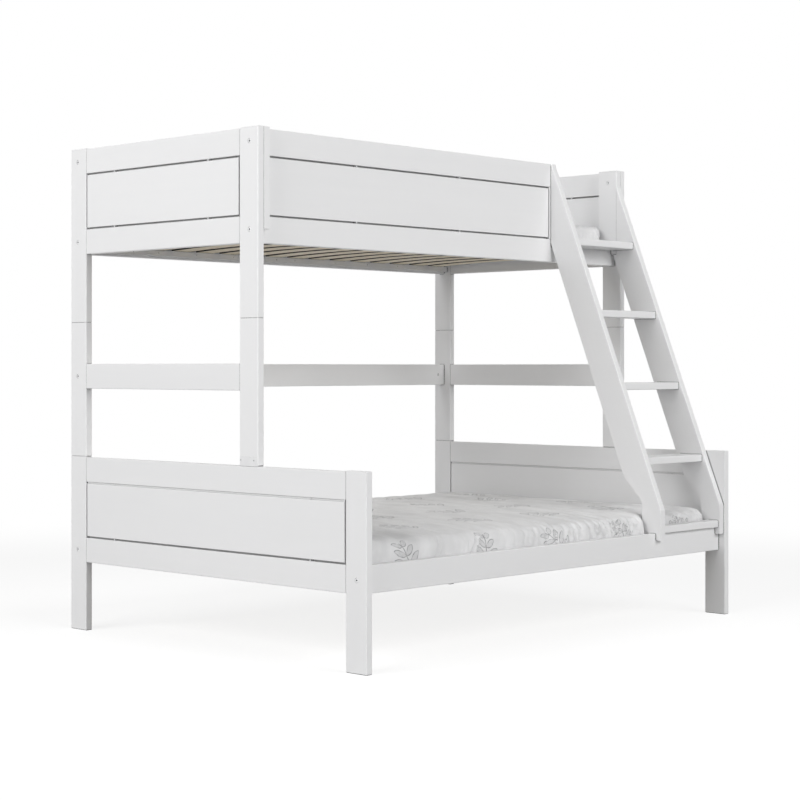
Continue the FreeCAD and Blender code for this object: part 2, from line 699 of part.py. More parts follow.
def foot_cutter(x_low):
    """What is sawn off below a stringer: the scoop behind the foot, the seat and the lip."""
    foot_rear = FOOT_Y + FOOT_DEPTH
    scoop_foot_z = SCOOP_Z - (rear_edge_y(SCOOP_Z) - foot_rear) / SCOOP_RUN
    seat_z = LOWER.rail_top + LADDER_GAP
    lip_y = LOWER.front_rail_y - FOOT_LIP_GAP
    lip_z = LOWER.rail_top - FOOT_LIP_DROP
    far_y = rear_edge_y(SCOOP_Z) + STRINGER_WIDTH
    outline = (
        (far_y, SCOOP_Z + STRINGER_WIDTH / SCOOP_RUN),
        (foot_rear, scoop_foot_z),
        (foot_rear, seat_z),
        (lip_y, seat_z),
        (lip_y, lip_z),
        (FOOT_Y - STRINGER_WIDTH, lip_z),
        (FOOT_Y - STRINGER_WIDTH, LOWER.base),
        (far_y, LOWER.base),
    )
    shape = side_prism(outline, x_low - EDGE_ROUND, BOARD_THICKNESS + 2 * EDGE_ROUND)
    corner = []
    for edge in edges_along(shape, "x"):
        centre = edge.CenterOfMass
        if abs(centre.y - foot_rear) < 0.01 and abs(centre.z - scoop_foot_z) < 0.01:
            corner.append(edge)
    return shape.makeFillet(SCOOP_FOOT_ROUND, corner)


def stringer(x_low):
    """A sloping board, cut to lean on the guard, to stand on the rail and flat in front of it."""
    x = (x_low - EDGE_ROUND, x_low + BOARD_THICKNESS + EDGE_ROUND)
    far = STRINGER_SPAN + BOARD_WIDTH
    high = UPPER.post_top + 2 * BOARD_WIDTH
    shape = sloping_board(x_low).cut(foot_cutter(x_low))
    shape = shape.cut(block(x, (LEAN_Y, LEAN_Y + far), (LOWER.rail_top, high)))
    shape = shape.cut(block(x, (LEAN_Y - far, LEAN_Y), (UPPER.cap_top, high)))
    return shape.cut(block(x, (FOOT_Y - far, FOOT_Y), (LOWER.base, FOOT_KNEE_HEIGHT)))


def tread_spans():
    """Front, rear, bottom and top of each tread, from the top one down."""
    spans = []
    for step in range(TREAD_COUNT):
        top = UPPER.rail_top - step * TREAD_PITCH
        bottom = top - BOARD_THICKNESS
        rear = min(rear_edge_y(bottom) - TREAD_SETBACK, LEAN_Y)
        spans.append((front_edge_y(top) + TREAD_SETBACK, rear, bottom, top))
    bottom = LOWER.rail_top + LADDER_GAP
    spans.append((FOOT_Y + TREAD_SETBACK, LOWER.inner_front_y, bottom, bottom + BOARD_THICKNESS))
    return spans


def post_clearance():
    """The space in front of the right-hand corner board that the ladder keeps out of."""
    x = (LADDER_RIGHT_X - LADDER_GAP, HALF_LENGTH)
    y = (UPPER.front_y - LADDER_GAP, UPPER.inner_front_y)
    return block(x, y, (UPPER.rail_middle - LADDER_GAP, UPPER.post_top))


def ladder():
    """Two stringers with five housed treads."""
    left_x = LADDER_LEFT_X - BOARD_THICKNESS
    stringers = {"left": stringer(left_x)}
    stringers["right"] = stringer(LADDER_RIGHT_X).cut(post_clearance())
    x = (LADDER_LEFT_X - TREAD_HOUSING, LADDER_RIGHT_X + TREAD_HOUSING)
    housing_x = (x[0] - FIT, x[1] + FIT)
    for index, (front, rear, bottom, top) in enumerate(tread_spans(), start=1):
        shape = block(x, (front, rear), (bottom, top))
        noses = [edge for edge in edges_along(shape, "x") if edge.CenterOfMass.y < front + 1]
        shape = shape.makeFillet(TREAD_ROUND, noses)
        solids[f"ladder_tread_{index}"] = shape.cut(post_clearance())
        housing = block(housing_x, (front - FIT, rear + FIT), (bottom - FIT, top + FIT))
        for hand in stringers:
            stringers[hand] = stringers[hand].cut(housing)
    for hand, shape in stringers.items():
        solids[f"ladder_{hand}_stringer"] = shape


# The whole bed

def build():
    """Make every piece in the order in which pieces take holes from one another."""
    for hand, side in (("left", LEFT), ("right", RIGHT)):
        end_board("lower", hand, side, LOWER, (f"leg_rear_{hand}", f"leg_front_{hand}"))
        extension_frame(hand, side)
        end_board("upper", hand, side, UPPER, (f"upper_post_rear_{hand}", f"upper_post_front_{hand}"))
        corner_board(f"corner_board_front_{hand}", side, UPPER.front_y, 1, UPPER)
        corner_board(f"corner_board_rear_{hand}", side, REAR_Y, -1, UPPER)
    for prefix, deck in (("lower", LOWER), ("upper", UPPER)):
        long_rail(f"{prefix}_front_rail", deck.front_rail_y, 1, deck.rail_bottom, INNER_X)
        long_rail(f"{prefix}_rear_rail", REAR_Y - RAIL_SETBACK, -1, deck.rail_bottom, INNER_X)
    long_rail("mid_rail_rear", REAR_Y - RAIL_SETBACK, -1, MID_RAIL_Z, INNER_X)
    guards()
    panel_dowels()
    stacked_posts()
    bolts()
    slatted_bases()
    mattresses()
    ladder()


build()
os.makedirs("parts", exist_ok=True)
for node_name, node_shape in solids.items():
    node_shape.exportStep(f"parts/{node_name}.step")
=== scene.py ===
"""Looks of a white painted bunk bed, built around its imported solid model.

The bed has a wide lower deck, a narrow upper deck along its rear edge and a leaning ladder. The
painted boards keep their solid shapes and get a brushed satin paint. Slats, bolts, nuts, screws,
panel tongues, pegs, seams and the two mattresses are built here. Lengths are metres. X runs along
the bed, Y from front to rear, Z up from the floor.
"""

import logging
import math
from collections.abc import Iterable
from dataclasses import dataclass, field, replace
from enum import Enum

import bmesh
import bpy
import numpy as np
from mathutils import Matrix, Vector
from mathutils.bvhtree import BVHTree


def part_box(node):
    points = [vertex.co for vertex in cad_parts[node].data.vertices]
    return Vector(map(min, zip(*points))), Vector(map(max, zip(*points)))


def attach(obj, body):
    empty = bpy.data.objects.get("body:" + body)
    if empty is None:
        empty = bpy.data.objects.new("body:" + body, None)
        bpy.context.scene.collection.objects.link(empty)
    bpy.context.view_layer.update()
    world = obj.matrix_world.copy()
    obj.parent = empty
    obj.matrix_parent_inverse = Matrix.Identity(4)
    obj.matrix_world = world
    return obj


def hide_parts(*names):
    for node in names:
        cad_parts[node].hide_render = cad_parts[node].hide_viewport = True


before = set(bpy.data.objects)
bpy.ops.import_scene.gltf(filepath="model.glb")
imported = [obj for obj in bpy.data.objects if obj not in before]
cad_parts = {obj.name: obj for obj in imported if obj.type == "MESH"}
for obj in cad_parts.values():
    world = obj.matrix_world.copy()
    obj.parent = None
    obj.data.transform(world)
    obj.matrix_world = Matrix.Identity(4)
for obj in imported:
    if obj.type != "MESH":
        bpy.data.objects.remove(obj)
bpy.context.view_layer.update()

log = logging.getLogger("bunk_bed")

Material = bpy.types.Material
Mesh = bpy.types.Mesh
Node = bpy.types.Node
Piece = bpy.types.Object
Socket = bpy.types.NodeSocket
Tree = bpy.types.NodeTree

Colour = tuple[float, float, float]
Point = tuple[float, float, float]
Span = tuple[float, float]
Placing = tuple[Point, Point]

NODE_SPACING = 190.0
NOISE_ROUGHNESS = 0.55
NOISE_CORE = (0.3, 0.7)
NOISE_REACH = (0.2, 0.8)
WHITE = (1.0, 1.0, 1.0, 1.0)
TINY = 1e-9
HAIR = 1e-6
MERGE = 1e-5
LADDER_SLOPE = 0.386
REPLACED = (
    "lower_slats", "upper_slats", "frame_bolts", "bolt_nuts", "lower_mattress", "upper_mattress")


def smooth_step(low: float, high: float, value: np.ndarray) -> np.ndarray:
    """Rise smoothly from 0 at low to 1 at high.

    Args:
        low: Where the rise starts.
        high: Where the rise ends, which may lie below low for a fall.
        value: The values to be mapped.

    Returns:
        Shares from 0 to 1.
    """
    share = np.clip((value - low) / (high - low), 0.0, 1.0)
    return share * share * (3.0 - 2.0 * share)


class TreeDraft:
    """Lays out and wires the nodes of one material, world or geometry tree."""

    def __init__(self, tree: Tree) -> None:
        """Start from an empty tree."""
        self.tree = tree
        tree.nodes.clear()

    def add(self, kind: str, feeds: dict | None = None, **settings: object) -> Node:
        """Add one node.

        Args:
            kind: The node's type name.
            feeds: Values or signals for its inputs, by name or number.
            settings: Properties of the node.

        Returns:
            The new node.
        """
        node = self.tree.nodes.new(kind)
        node.location = (NODE_SPACING * len(self.tree.nodes), 0.0)
        for name, value in settings.items():
            setattr(node, name, value)
        self.feed_all(node, feeds or {})
        return node

    def feed(self, socket: Socket, value: object) -> None:
        """Wire a signal or an output into a socket, or set its value.

        Args:
            socket: The input socket.
            value: The signal, the output or the plain value.
        """
        if isinstance(value, Signal):
            value = value.socket
        if isinstance(value, Socket):
            self.tree.links.new(value, socket)
        else:
            socket.default_value = value

    def feed_all(self, node: Node, feeds: dict) -> None:
        """Feed several inputs of a node, by name or number."""
        for name, value in feeds.items():
            self.feed(node.inputs[name], value)

    def signal(self, socket: Socket) -> "Signal":
        """Wrap an output for use in sums."""
        return Signal(self, socket)

    def place(self) -> Socket:
        """The coordinate in the bed's own frame, in metres."""
        return self.add("ShaderNodeTexCoord").outputs["Object"]

    def attribute(self, name: str) -> "Signal":
        """A number that the geometry carries."""
        return self.signal(self.add("ShaderNodeAttribute", attribute_name=name).outputs["Fac"])

    def seen(self) -> "Signal":
        """Tell looks from light.

        Returns:
            1 for rays that show a thing, straight or mirrored, and 0 for those that only light it.
        """
        rays = self.add("ShaderNodeLightPath").outputs
        seen = self.signal(rays["Is Camera Ray"])
        for kind in ("Is Glossy Ray", "Is Transmission Ray"):
            seen = seen.larger(self.signal(rays[kind]))
        return seen

    def mapped(self, vector: Socket, turn: Point, scale: Point) -> Socket:
        """Turn a coordinate and then stretch it.

        Args:
            vector: The coordinate.
            turn: Angles about X, Y and Z.
            scale: Factors along the turned axes.

        Returns:
            The changed coordinate.
        """
        turned = self.add("ShaderNodeMapping", {"Vector": vector, "Rotation": turn})
        feeds = {"Vector": turned.outputs[0], "Scale": scale}
        return self.add("ShaderNodeMapping", feeds).outputs[0]

    def noise(self, vector: Socket, scale: float, detail: float) -> "Signal":
        """A soft noise value from 0 to 1 at a coordinate.

        Args:
            vector: The coordinate.
            scale: How fine the noise is.
            detail: How many finer layers it has.

        Returns:
            The noise value.
        """
        feeds = {
            "Vector": vector, "Scale": scale, "Detail": detail, "Roughness": NOISE_ROUGHNESS}
        return self.signal(self.add("ShaderNodeTexNoise", feeds).outputs["Fac"])

    def streaks(self, vector: Socket, turn: Point, scale: Point, detail: float) -> "Signal":
        """A soft noise value from 0 to 1 that is drawn out one way."""
        return self.noise(self.mapped(vector, turn, scale), 1.0, detail)

    def blend(self, share: "Signal", first: object, second: object) -> Socket:
        """Mix two colours.

        Args:
            share: How much of the second colour shows.
            first: The first colour, or a socket that gives it.
            second: The second colour, or a socket that gives it.

        Returns:
            The mixed colour.
        """
        node = self.add("ShaderNodeMix", {0: share}, data_type="RGBA")
        # The node's colour sockets come after those for numbers and vectors.
        for socket, value in ((node.inputs[6], first), (node.inputs[7], second)):
            self.feed(socket, (*value, 1.0) if isinstance(value, tuple) else value)
        return node.outputs[2]


class Signal:
    """A number that flows through a tree and can be used in sums."""

    def __init__(self, draft: TreeDraft, socket: Socket) -> None:
        """Hold the tree and the output that gives the number."""
        self.draft = draft
        self.socket = socket

    def _sum(self, operation: str, *values: object) -> "Signal":
        """Run one arithmetic node on some values."""
        node = self.draft.add("ShaderNodeMath", dict(enumerate(values)), operation=operation)
        return Signal(self.draft, node.outputs[0])

    def __add__(self, other: object) -> "Signal":
        """Add a number or signal."""
        return self._sum("ADD", self, other)

    def __sub__(self, other: object) -> "Signal":
        """Take away a number or signal."""
        return self._sum("SUBTRACT", self, other)

    def __rsub__(self, other: float) -> "Signal":
        """Take this from a number."""
        return self._sum("SUBTRACT", other, self)

    def __mul__(self, other: object) -> "Signal":
        """Multiply by a number or signal."""
        return self._sum("MULTIPLY", self, other)

    def __truediv__(self, other: object) -> "Signal":
        """Divide by a number or signal."""
        return self._sum("DIVIDE", self, other)

    def mixed(self, other: "Signal", share: float) -> "Signal":
        """Mix in a share of another signal."""
        return self * (1.0 - share) + other * share

    def floor(self) -> "Signal":
        """The whole number below."""
        return self._sum("FLOOR", self)

    def fraction(self) -> "Signal":
        """What is left above the whole number below."""
        return self._sum("FRACT", self)

    def size(self) -> "Signal":
        """The value without its sign."""
        return self._sum("ABSOLUTE", self)

    def sine(self) -> "Signal":
        """The sine of an angle."""
        return self._sum("SINE", self)

    def cosine(self) -> "Signal":
        """The cosine of an angle."""
        return self._sum("COSINE", self)

    def larger(self, other: object) -> "Signal":
        """The larger of two values."""
        return self._sum("MAXIMUM", self, other)

    def modulo(self, other: float) -> "Signal":
        """The remainder of a division, never negative."""
        return self._sum("FLOORED_MODULO", self, other)

    def ramp(self, low: object, high: object, start: float = 0.0, end: float = 1.0) -> "Signal":
        """Map a range smoothly onto another.

        Args:
            low: The value that gives start.
            high: The value that gives end.
            start: The result at low.
            end: The result at high.

        Returns:
            The mapped signal.
        """
        feeds = {0: self, 1: low, 2: high, 3: start, 4: end}
        node = self.draft.add("ShaderNodeMapRange", feeds, interpolation_type="SMOOTHSTEP")
        return Signal(self.draft, node.outputs[0])


def start_material(name: str) -> tuple[Material, TreeDraft, Node]:
    """Make an empty material with its main shader.

    Args:
        name: The material's name.

    Returns:
        The material, its tree and its main shader.
    """
    material = bpy.data.materials.new(name)
    material.use_nodes = True
    draft = TreeDraft(material.node_tree)
    shader = draft.add("ShaderNodeBsdfPrincipled")
    draft.add("ShaderNodeOutputMaterial", {"Surface": shader.outputs[0]})
    return material, draft, shader


@dataclass(frozen=True)
class Relief:
    """Fine surface relief of a finish."""

    strength: float
    depth: float

    def carve(self, draft: TreeDraft, shader: Node, height: Signal) -> None:
        """Give a shader this relief.

        Args:
            draft: The material's tree.
            shader: The main shader.
            height: The relief from 0 to 1.
        """
        feeds = {"Height": height, "Strength": self.strength, "Distance": self.depth}
        bump = draft.add("ShaderNodeBump", feeds)
        draft.feed(shader.inputs["Normal"], bump.outputs[0])


class Grain(Enum):
    """The way a board's grain runs, as the turn that lays it along X."""

    LENGTHWISE = (0.0, 0.0, 0.0)
    CROSSWISE = (0.0, 0.0, -math.pi / 2)
    UPRIGHT = (0.0, math.pi / 2, 0.0)
    LEANING = (math.atan(LADDER_SLOPE), math.pi / 2, 0.0)


@dataclass(frozen=True)
class SatinPaint:
    """White satin paint, brushed along the grain, with painted shade that darkens it in narrow
    joints and gaps.
    """

    light: Colour = (0.848, 0.848, 0.852)
    shade: Colour = (0.833, 0.833, 0.838)
    crevice_shade: Colour = (0.05, 0.05, 0.05)
    shade_reach: float = 0.007
    shade_samples: int = 6
    shade_range: Span = (0.32, 0.85)
    gloss: float = 0.36
    dull: float = 0.48
    gloss_range: Span = (0.25, 0.75)
    coat: float = 0.12
    coat_roughness: float = 0.3
    brush_scale: Point = (2.2, 46.0, 46.0)
    figure_scale: Point = (0.7, 7.0, 7.0)
    figure_share: float = 0.6
    stipple_scale: float = 520.0
    stipple_share: float = 0.4
    relief: Relief = Relief(0.05, 0.0005)

    def material(self, grain: Grain) -> Material:
        """Make the paint for one grain direction.

        Args:
            grain: The way the grain runs.

        Returns:
            The material.
        """
        shade_state = "crevice_shade" if self.shade_reach > 0.0 else "unshaded"
        material, draft, shader = start_material(f"{shade_state}_paint_{grain.name.lower()}")
        place = draft.place()
        brushed = draft.streaks(place, grain.value, self.brush_scale, 4.0)
        figure = draft.streaks(place, grain.value, self.figure_scale, 2.0)
        stipple = draft.noise(place, self.stipple_scale, 2.0)
        tone = brushed.mixed(figure, self.figure_share)
        colour = draft.blend(tone.ramp(*NOISE_CORE), self.shade, self.light)
        # Painted shade: an ambient occlusion node darkens the colour to near black in narrow joints
        # and gaps.
        if self.shade_reach > 0.0:
            feeds = {"Distance": self.shade_reach}
            occlusion = draft.add("ShaderNodeAmbientOcclusion", feeds, samples=self.shade_samples)
            unshaded = draft.signal(occlusion.outputs["AO"]).ramp(*self.shade_range)
            colour = draft.blend(unshaded, self.crevice_shade, colour)
        draft.feed_all(shader, {
            "Base Color": colour,
            "Roughness": figure.ramp(*self.gloss_range, self.gloss, self.dull),
            "Coat Weight": self.coat,
            "Coat Roughness": self.coat_roughness,
        })
        self.relief.carve(draft, shader, brushed.mixed(stipple, self.stipple_share))
        return material


@dataclass(frozen=True)
class PowderCoat:
    """White baked coating on folded steel, with a fine even grain."""

    light: Colour = (0.85, 0.85, 0.855)
    shade: Colour = (0.79, 0.79, 0.80)
    grain_scale: float = 900.0
    cloud_scale: float = 14.0
    roughness: Span = (0.34, 0.5)
    relief: Relief = Relief(0.25, 0.0003)

    def material(self) -> Material:
        """Make the coating.

        Returns:
            The material.
        """
        material, draft, shader = start_material("powder_coat")
        place = draft.place()
        grain = draft.noise(place, self.grain_scale, 2.0)
        cloud = draft.noise(place, self.cloud_scale, 2.0)
        draft.feed_all(shader, {
            "Base Color": draft.blend(cloud.ramp(*NOISE_CORE), self.shade, self.light),
            "Roughness": grain.ramp(*NOISE_REACH, *self.roughness),
        })
        self.relief.carve(draft, shader, grain)
        return material


@dataclass(frozen=True)
class PlatedSteel:
    """A plating on turned steel, with faint clouding."""

    name: str
    light: Colour
    shade: Colour
    cloud_scale: float = 160.0
    scratch_scale: Point = (900.0, 120.0, 900.0)
    roughness: Span = (0.28, 0.46)
    metallic: float = 0.85
    relief: Relief = Relief(0.15, 0.0002)

    def material(self) -> Material:
        """Make the plating.

        Returns:
            The material.
        """
        material, draft, shader = start_material(self.name)
        place = draft.place()
        cloud = draft.noise(place, self.cloud_scale, 3.0)
        scratch = draft.streaks(place, Grain.LENGTHWISE.value, self.scratch_scale, 2.0)
        draft.feed_all(shader, {
            "Base Color": draft.blend(cloud.ramp(*NOISE_CORE), self.shade, self.light),
            "Roughness": cloud.ramp(*NOISE_REACH, *self.roughness),
            "Metallic": self.metallic,
        })
        self.relief.carve(draft, shader, scratch)
        return material


@dataclass(frozen=True)
class BarePine:
    """Planed pine slats, each cut from another place in the log."""

    early: Colour = (0.90, 0.82, 0.66)
    late: Colour = (0.80, 0.69, 0.51)
    edge_shade: Colour = (0.022, 0.019, 0.016)
    tone_name: str = "slat_tone"
    edge_name: str = "slat_edge"
    log_shift: Point = (3.7, 9.1, 1.3)
    ring_stretch: Point = (0.55, 15.0, 15.0)
    ring_scale: float = 0.8
    ring_count: float = 34.0
    sway_scale: float = 1.4
    sway: float = 3.0
    fibre_scale: Point = (6.0, 420.0, 420.0)
    roughness: Span = (0.55, 0.75)
    relief: Relief = Relief(0.25, 0.0005)

    def material(self) -> Material:
        """Make the wood.

        Returns:
            The material.
        """
        material, draft, shader = start_material("bare_pine")
        tone = draft.attribute(self.tone_name)
        shift = draft.add("ShaderNodeCombineXYZ", {
            axis: tone * step for axis, step in enumerate(self.log_shift)})
        feeds = {0: draft.place(), 1: shift.outputs[0]}
        place = draft.add("ShaderNodeVectorMath", feeds, operation="ADD").outputs[0]
        along = Grain.CROSSWISE.value
        grain = draft.mapped(place, along, self.ring_stretch)
        sway = draft.noise(grain, self.sway_scale, 2.0)
        rings = draft.noise(grain, self.ring_scale, 1.0) * self.ring_count + sway * self.sway
        rings = rings.sine().ramp(-0.2, 1.0)
        fibre = draft.streaks(place, along, self.fibre_scale, 3.0)
        share = rings * 0.45 + fibre * 0.3 + tone * 0.35 - 0.1
        planed = draft.blend(share, self.early, self.late)
        # Painted shade: the slats' long side faces turn nearly black, standing in for the shade in
        # the gaps between slats.
        shaded_edge = draft.attribute(self.edge_name) * fibre.ramp(*NOISE_REACH, 1.0, 0.97)
        draft.feed_all(shader, {
            "Base Color": draft.blend(shaded_edge, planed, self.edge_shade),
            "Roughness": fibre.ramp(*NOISE_REACH, *self.roughness),
        })
        self.relief.carve(draft, shader, fibre.mixed(rings, 0.4))
        return material


@dataclass(frozen=True)
class SewingThread:
    """Twisted polyester thread of the mattress seams."""

    light: Colour = (0.72, 0.72, 0.73)
    shade: Colour = (0.55, 0.55, 0.56)
    twist_scale: float = 1400.0
    roughness: Span = (0.5, 0.7)
    sheen: float = 0.2

    def material(self) -> Material:
        """Make the thread.

        Returns:
            The material.
        """
        material, draft, shader = start_material("sewing_thread")
        twist = draft.noise(draft.place(), self.twist_scale, 2.0)
        draft.feed_all(shader, {
            "Base Color": draft.blend(twist, self.shade, self.light),
            "Roughness": twist.ramp(*NOISE_REACH, *self.roughness),
            "Sheen Weight": self.sheen,
        })
        return material


@dataclass(frozen=True)
class KnitTicking:
    """Pale grey knitted mattress cover with a scattered, hatched leaf sprig."""

    base: Colour = (0.86, 0.86, 0.865)
    hollow: Colour = (0.71, 0.71, 0.715)
    print_tone: Colour = (0.22, 0.22, 0.23)
    repeat: Span = (0.395, 0.29)
    first: Span = (0.02, -0.068)
    scatter: float = 4.0
    lean: float = 1.0
    lean_range: float = 1.3
    sprig: float = 0.155
    stem_bend: float = 1.1
    stem_shift: float = 0.012
    stem_start: float = 0.004
    leaf_pairs: int = 4
    leaf: float = 0.066
    tip_leaf: float = 0.45
    leaf_slant: float = 0.62
    leaf_belly: float = 1.35
    line: float = 0.0028
    hatch_pitch: float = 2.8
    hatch_slant: float = 0.8
    hatch_range: Span = (0.40, 0.52)
    hatch_weight: float = 0.55
    wear_scale: float = 60.0
    wear_range: Span = (0.55, 1.0)
    wrinkle_turn: Point = (0.0, 0.0, 0.35)
    wrinkle_scale: Point = (11.0, 3.2, 1.0)
    streak_turn: Point = (0.0, 0.0, 0.12)
    streak_scale: Point = (16.0, 3.0, 1.0)
    streak_width: float = 0.05
    patch_scale: float = 5.0
    patch_range: Span = (0.42, 0.6)
    cloud_scale: float = 9.0
    cloud_share: float = 0.3
    ground_range: Span = (0.3, 0.68)
    wale: float = 0.0032
    course: float = 0.0026
    roughness: Span = (0.62, 0.82)
    sheen: float = 0.25
    sheen_roughness: float = 0.45
    relief: Relief = Relief(0.55, 0.005)
    map_name: str = "cover"

    def _sprig(self, draft: TreeDraft, across: Signal, along: Signal) -> Signal:
        """Draw one repeat of the leaf sprig.

        Args:
            draft: The material's tree.
            across: The cover's coordinate along the bed.
            along: The cover's coordinate across the bed and down its border.

        Returns:
            The print's strength from 0 to 1.
        """
        along = (along - self.first[1]) / self.repeat[1] + 0.5
        row = along.floor()
        across = (across - self.first[0]) / self.repeat[0] + row.modulo(2.0) * 0.5 + 0.5
        key = draft.add("ShaderNodeCombineXYZ", {0: across.floor(), 1: row, 2: self.scatter})
        feeds = {"Vector": key.outputs[0]}
        chance = draft.add("ShaderNodeTexWhiteNoise", feeds, noise_dimensions="3D")
        turn = draft.signal(chance.outputs["Value"]) * self.lean_range - self.lean
        x = (across.fraction() - 0.5) * self.repeat[0]
        y = (along.fraction() - 0.5) * self.repeat[1]
        side = x * turn.cosine() - y * turn.sine()
        rise = x * turn.sine() + y * turn.cosine() + self.sprig / 2
        side = side + rise * rise * self.stem_bend - self.stem_shift
        reach = side.size()
        step = self.sprig / self.leaf_pairs
        place = (rise - reach * self.leaf_slant) / step
        number = place.floor()
        width = (place.fraction() - 0.5) * step
        length = number.ramp(0.0, float(self.leaf_pairs), self.leaf, self.leaf * self.tip_leaf)
        share = reach / length
        inside = share * (1.0 - share) * (step * self.leaf_belly) - width.size()
        within = number.ramp(-0.6, -0.4) * number.ramp(self.leaf_pairs - 0.4, self.leaf_pairs - 0.6)
        within = within * share.ramp(1.0, 0.97)
        outline = inside.size().ramp(self.line * 0.8, self.line * 0.3)
        hatch = (reach - width * self.hatch_slant) / (self.line * self.hatch_pitch)
        hatch = hatch.fraction().ramp(*self.hatch_range, 1.0, 0.0)
        hatch = hatch * inside.ramp(0.0, self.line * 0.5)
        stem = reach.ramp(self.line * 0.9, self.line * 0.4) * rise.ramp(0.0, self.stem_start)
        stem = stem * rise.ramp(self.sprig, self.sprig * 0.97)
        return (outline.larger(hatch * self.hatch_weight) * within).larger(stem)

    def material(self) -> Material:
        """Make the cover cloth.

        Returns:
            The material.
        """
        material, draft, shader = start_material("knit_ticking")
        cover = draft.add("ShaderNodeUVMap", uv_map=self.map_name).outputs[0]
        parts = draft.add("ShaderNodeSeparateXYZ", {0: cover})
        across, along = draft.signal(parts.outputs[0]), draft.signal(parts.outputs[1])
        print_mask = self._sprig(draft, across, along)
        wrinkle = draft.streaks(cover, self.wrinkle_turn, self.wrinkle_scale, 4.0)
        streaks = draft.streaks(cover, self.streak_turn, self.streak_scale, 2.5)
        streaks = (streaks - 0.5).size().ramp(0.0, self.streak_width, 1.0, 0.0)
        streaks = streaks * draft.noise(cover, self.patch_scale, 1.0).ramp(*self.patch_range)
        cloud = draft.noise(cover, self.cloud_scale, 2.0)
        wales = (across * (math.tau / self.wale)).sine()
        courses = (along * (math.tau / self.course)).sine()
        knit = wales * courses * 0.5 + 0.5
        # Painted shade: the cloth darkens towards hollow where the wrinkle relief is low, mixed
        # with a random cloudy tone.
        tone = wrinkle.mixed(cloud, self.cloud_share).ramp(*self.ground_range)
        ground = draft.blend(tone, self.hollow, self.base)
        worn = draft.noise(cover, self.wear_scale, 2.0).ramp(*NOISE_CORE, *self.wear_range)
        draft.feed_all(shader, {
            "Base Color": draft.blend(print_mask * worn, ground, self.print_tone),
            "Roughness": knit.ramp(0.0, 1.0, *self.roughness),
            "Sheen Weight": self.sheen,
            "Sheen Roughness": self.sheen_roughness,
        })
        height = wrinkle * 0.85 + knit * 0.1 - print_mask * 0.06 - streaks * 0.3
        self.relief.carve(draft, shader, height)
        return material


@dataclass
class Finishes:
    """Every finish on the bed, made once."""

    paint: dict[Grain, Material] = field(default_factory=dict)
    unshaded_paint: dict[Grain, Material] = field(default_factory=dict)
    powder: Material | None = None
    zinc: Material | None = None
    recess_shade: Material | None = None
    pine: Material | None = None
    ticking: Material | None = None
    thread: Material | None = None

    def prepare(self) -> "Finishes":
        """Make all the materials.

        Returns:
            These finishes, ready for use.
        """
        self.paint = {grain: SatinPaint().material(grain) for grain in Grain}
        # The same paint without the painted shade in joints and gaps.
        unshaded = SatinPaint(shade_reach=0.0)
        ways = (Grain.LENGTHWISE, Grain.UPRIGHT)
        self.unshaded_paint = {grain: unshaded.material(grain) for grain in ways}
        self.powder = PowderCoat().material()
        self.zinc = PlatedSteel("zinc_steel", (0.93, 0.93, 0.935), (0.82, 0.82, 0.83)).material()
        # Painted shade: near-black steel for the drives and seats of the fasteners.
        self.recess_shade = PlatedSteel("recess_shade_steel", (0.15, 0.15, 0.155), (0.09, 0.09, 0.095)).material()
        self.pine = BarePine().material()
        self.ticking = KnitTicking().material()
        self.thread = SewingThread().material()
        return self


def new_piece(name: str, mesh: Mesh) -> Piece:
    """Put a mesh into the scene as an object at the origin.

    Args:
        name: The piece's name.
        mesh: Its mesh.

    Returns:
        The new object.
    """
    piece = bpy.data.objects.new(name, mesh)
    bpy.context.scene.collection.objects.link(piece)
    return piece


def settle(piece: Piece) -> Piece:
    """Turn what a piece's modifiers give into its plain mesh.

    Args:
        piece: The object with modifiers.

    Returns:
        The same object, with no modifier left.
    """
    bpy.context.view_layer.update()
    graph = bpy.context.evaluated_depsgraph_get()
    shaped = piece.evaluated_get(graph)
    mesh = bpy.data.meshes.new_from_object(shaped, preserve_all_data_layers=True, depsgraph=graph)
    piece.modifiers.clear()
    piece.data = mesh
    return piece


def start_tree(name: str, inputs: dict[str, str]) -> tuple[TreeDraft, Node]:
    """Make an empty geometry tree.

    Args:
        name: The tree's name.
        inputs: Socket types by input name, after the geometry itself.

    Returns:
        The tree and its input node.
    """
    tree = bpy.data.node_groups.new(name, "GeometryNodeTree")
    sockets = tree.interface
    sockets.new_socket(name="Geometry", in_out="INPUT", socket_type="NodeSocketGeometry")
    for label, kind in inputs.items():
        sockets.new_socket(name=label, in_out="INPUT", socket_type=kind)
    sockets.new_socket(name="Geometry", in_out="OUTPUT", socket_type="NodeSocketGeometry")
    draft = TreeDraft(tree)
    return draft, draft.add("NodeGroupInput")


def run_tree(piece: Piece, tree: Tree, values: dict[str, object]) -> Piece:
    """Run a geometry tree on a piece and keep the plain result.

    Args:
        piece: The object that gives the tree its geometry.
        tree: The geometry tree.
        values: The tree's inputs by name.

    Returns:
        The same object with the finished mesh.
    """
    modifier = piece.modifiers.new(tree.name, "NODES")
    modifier.node_group = tree
    for item in tree.interface.items_tree:
        if item.in_out == "INPUT" and item.name in values:
            modifier[item.identifier] = values[item.name]
    return settle(piece)


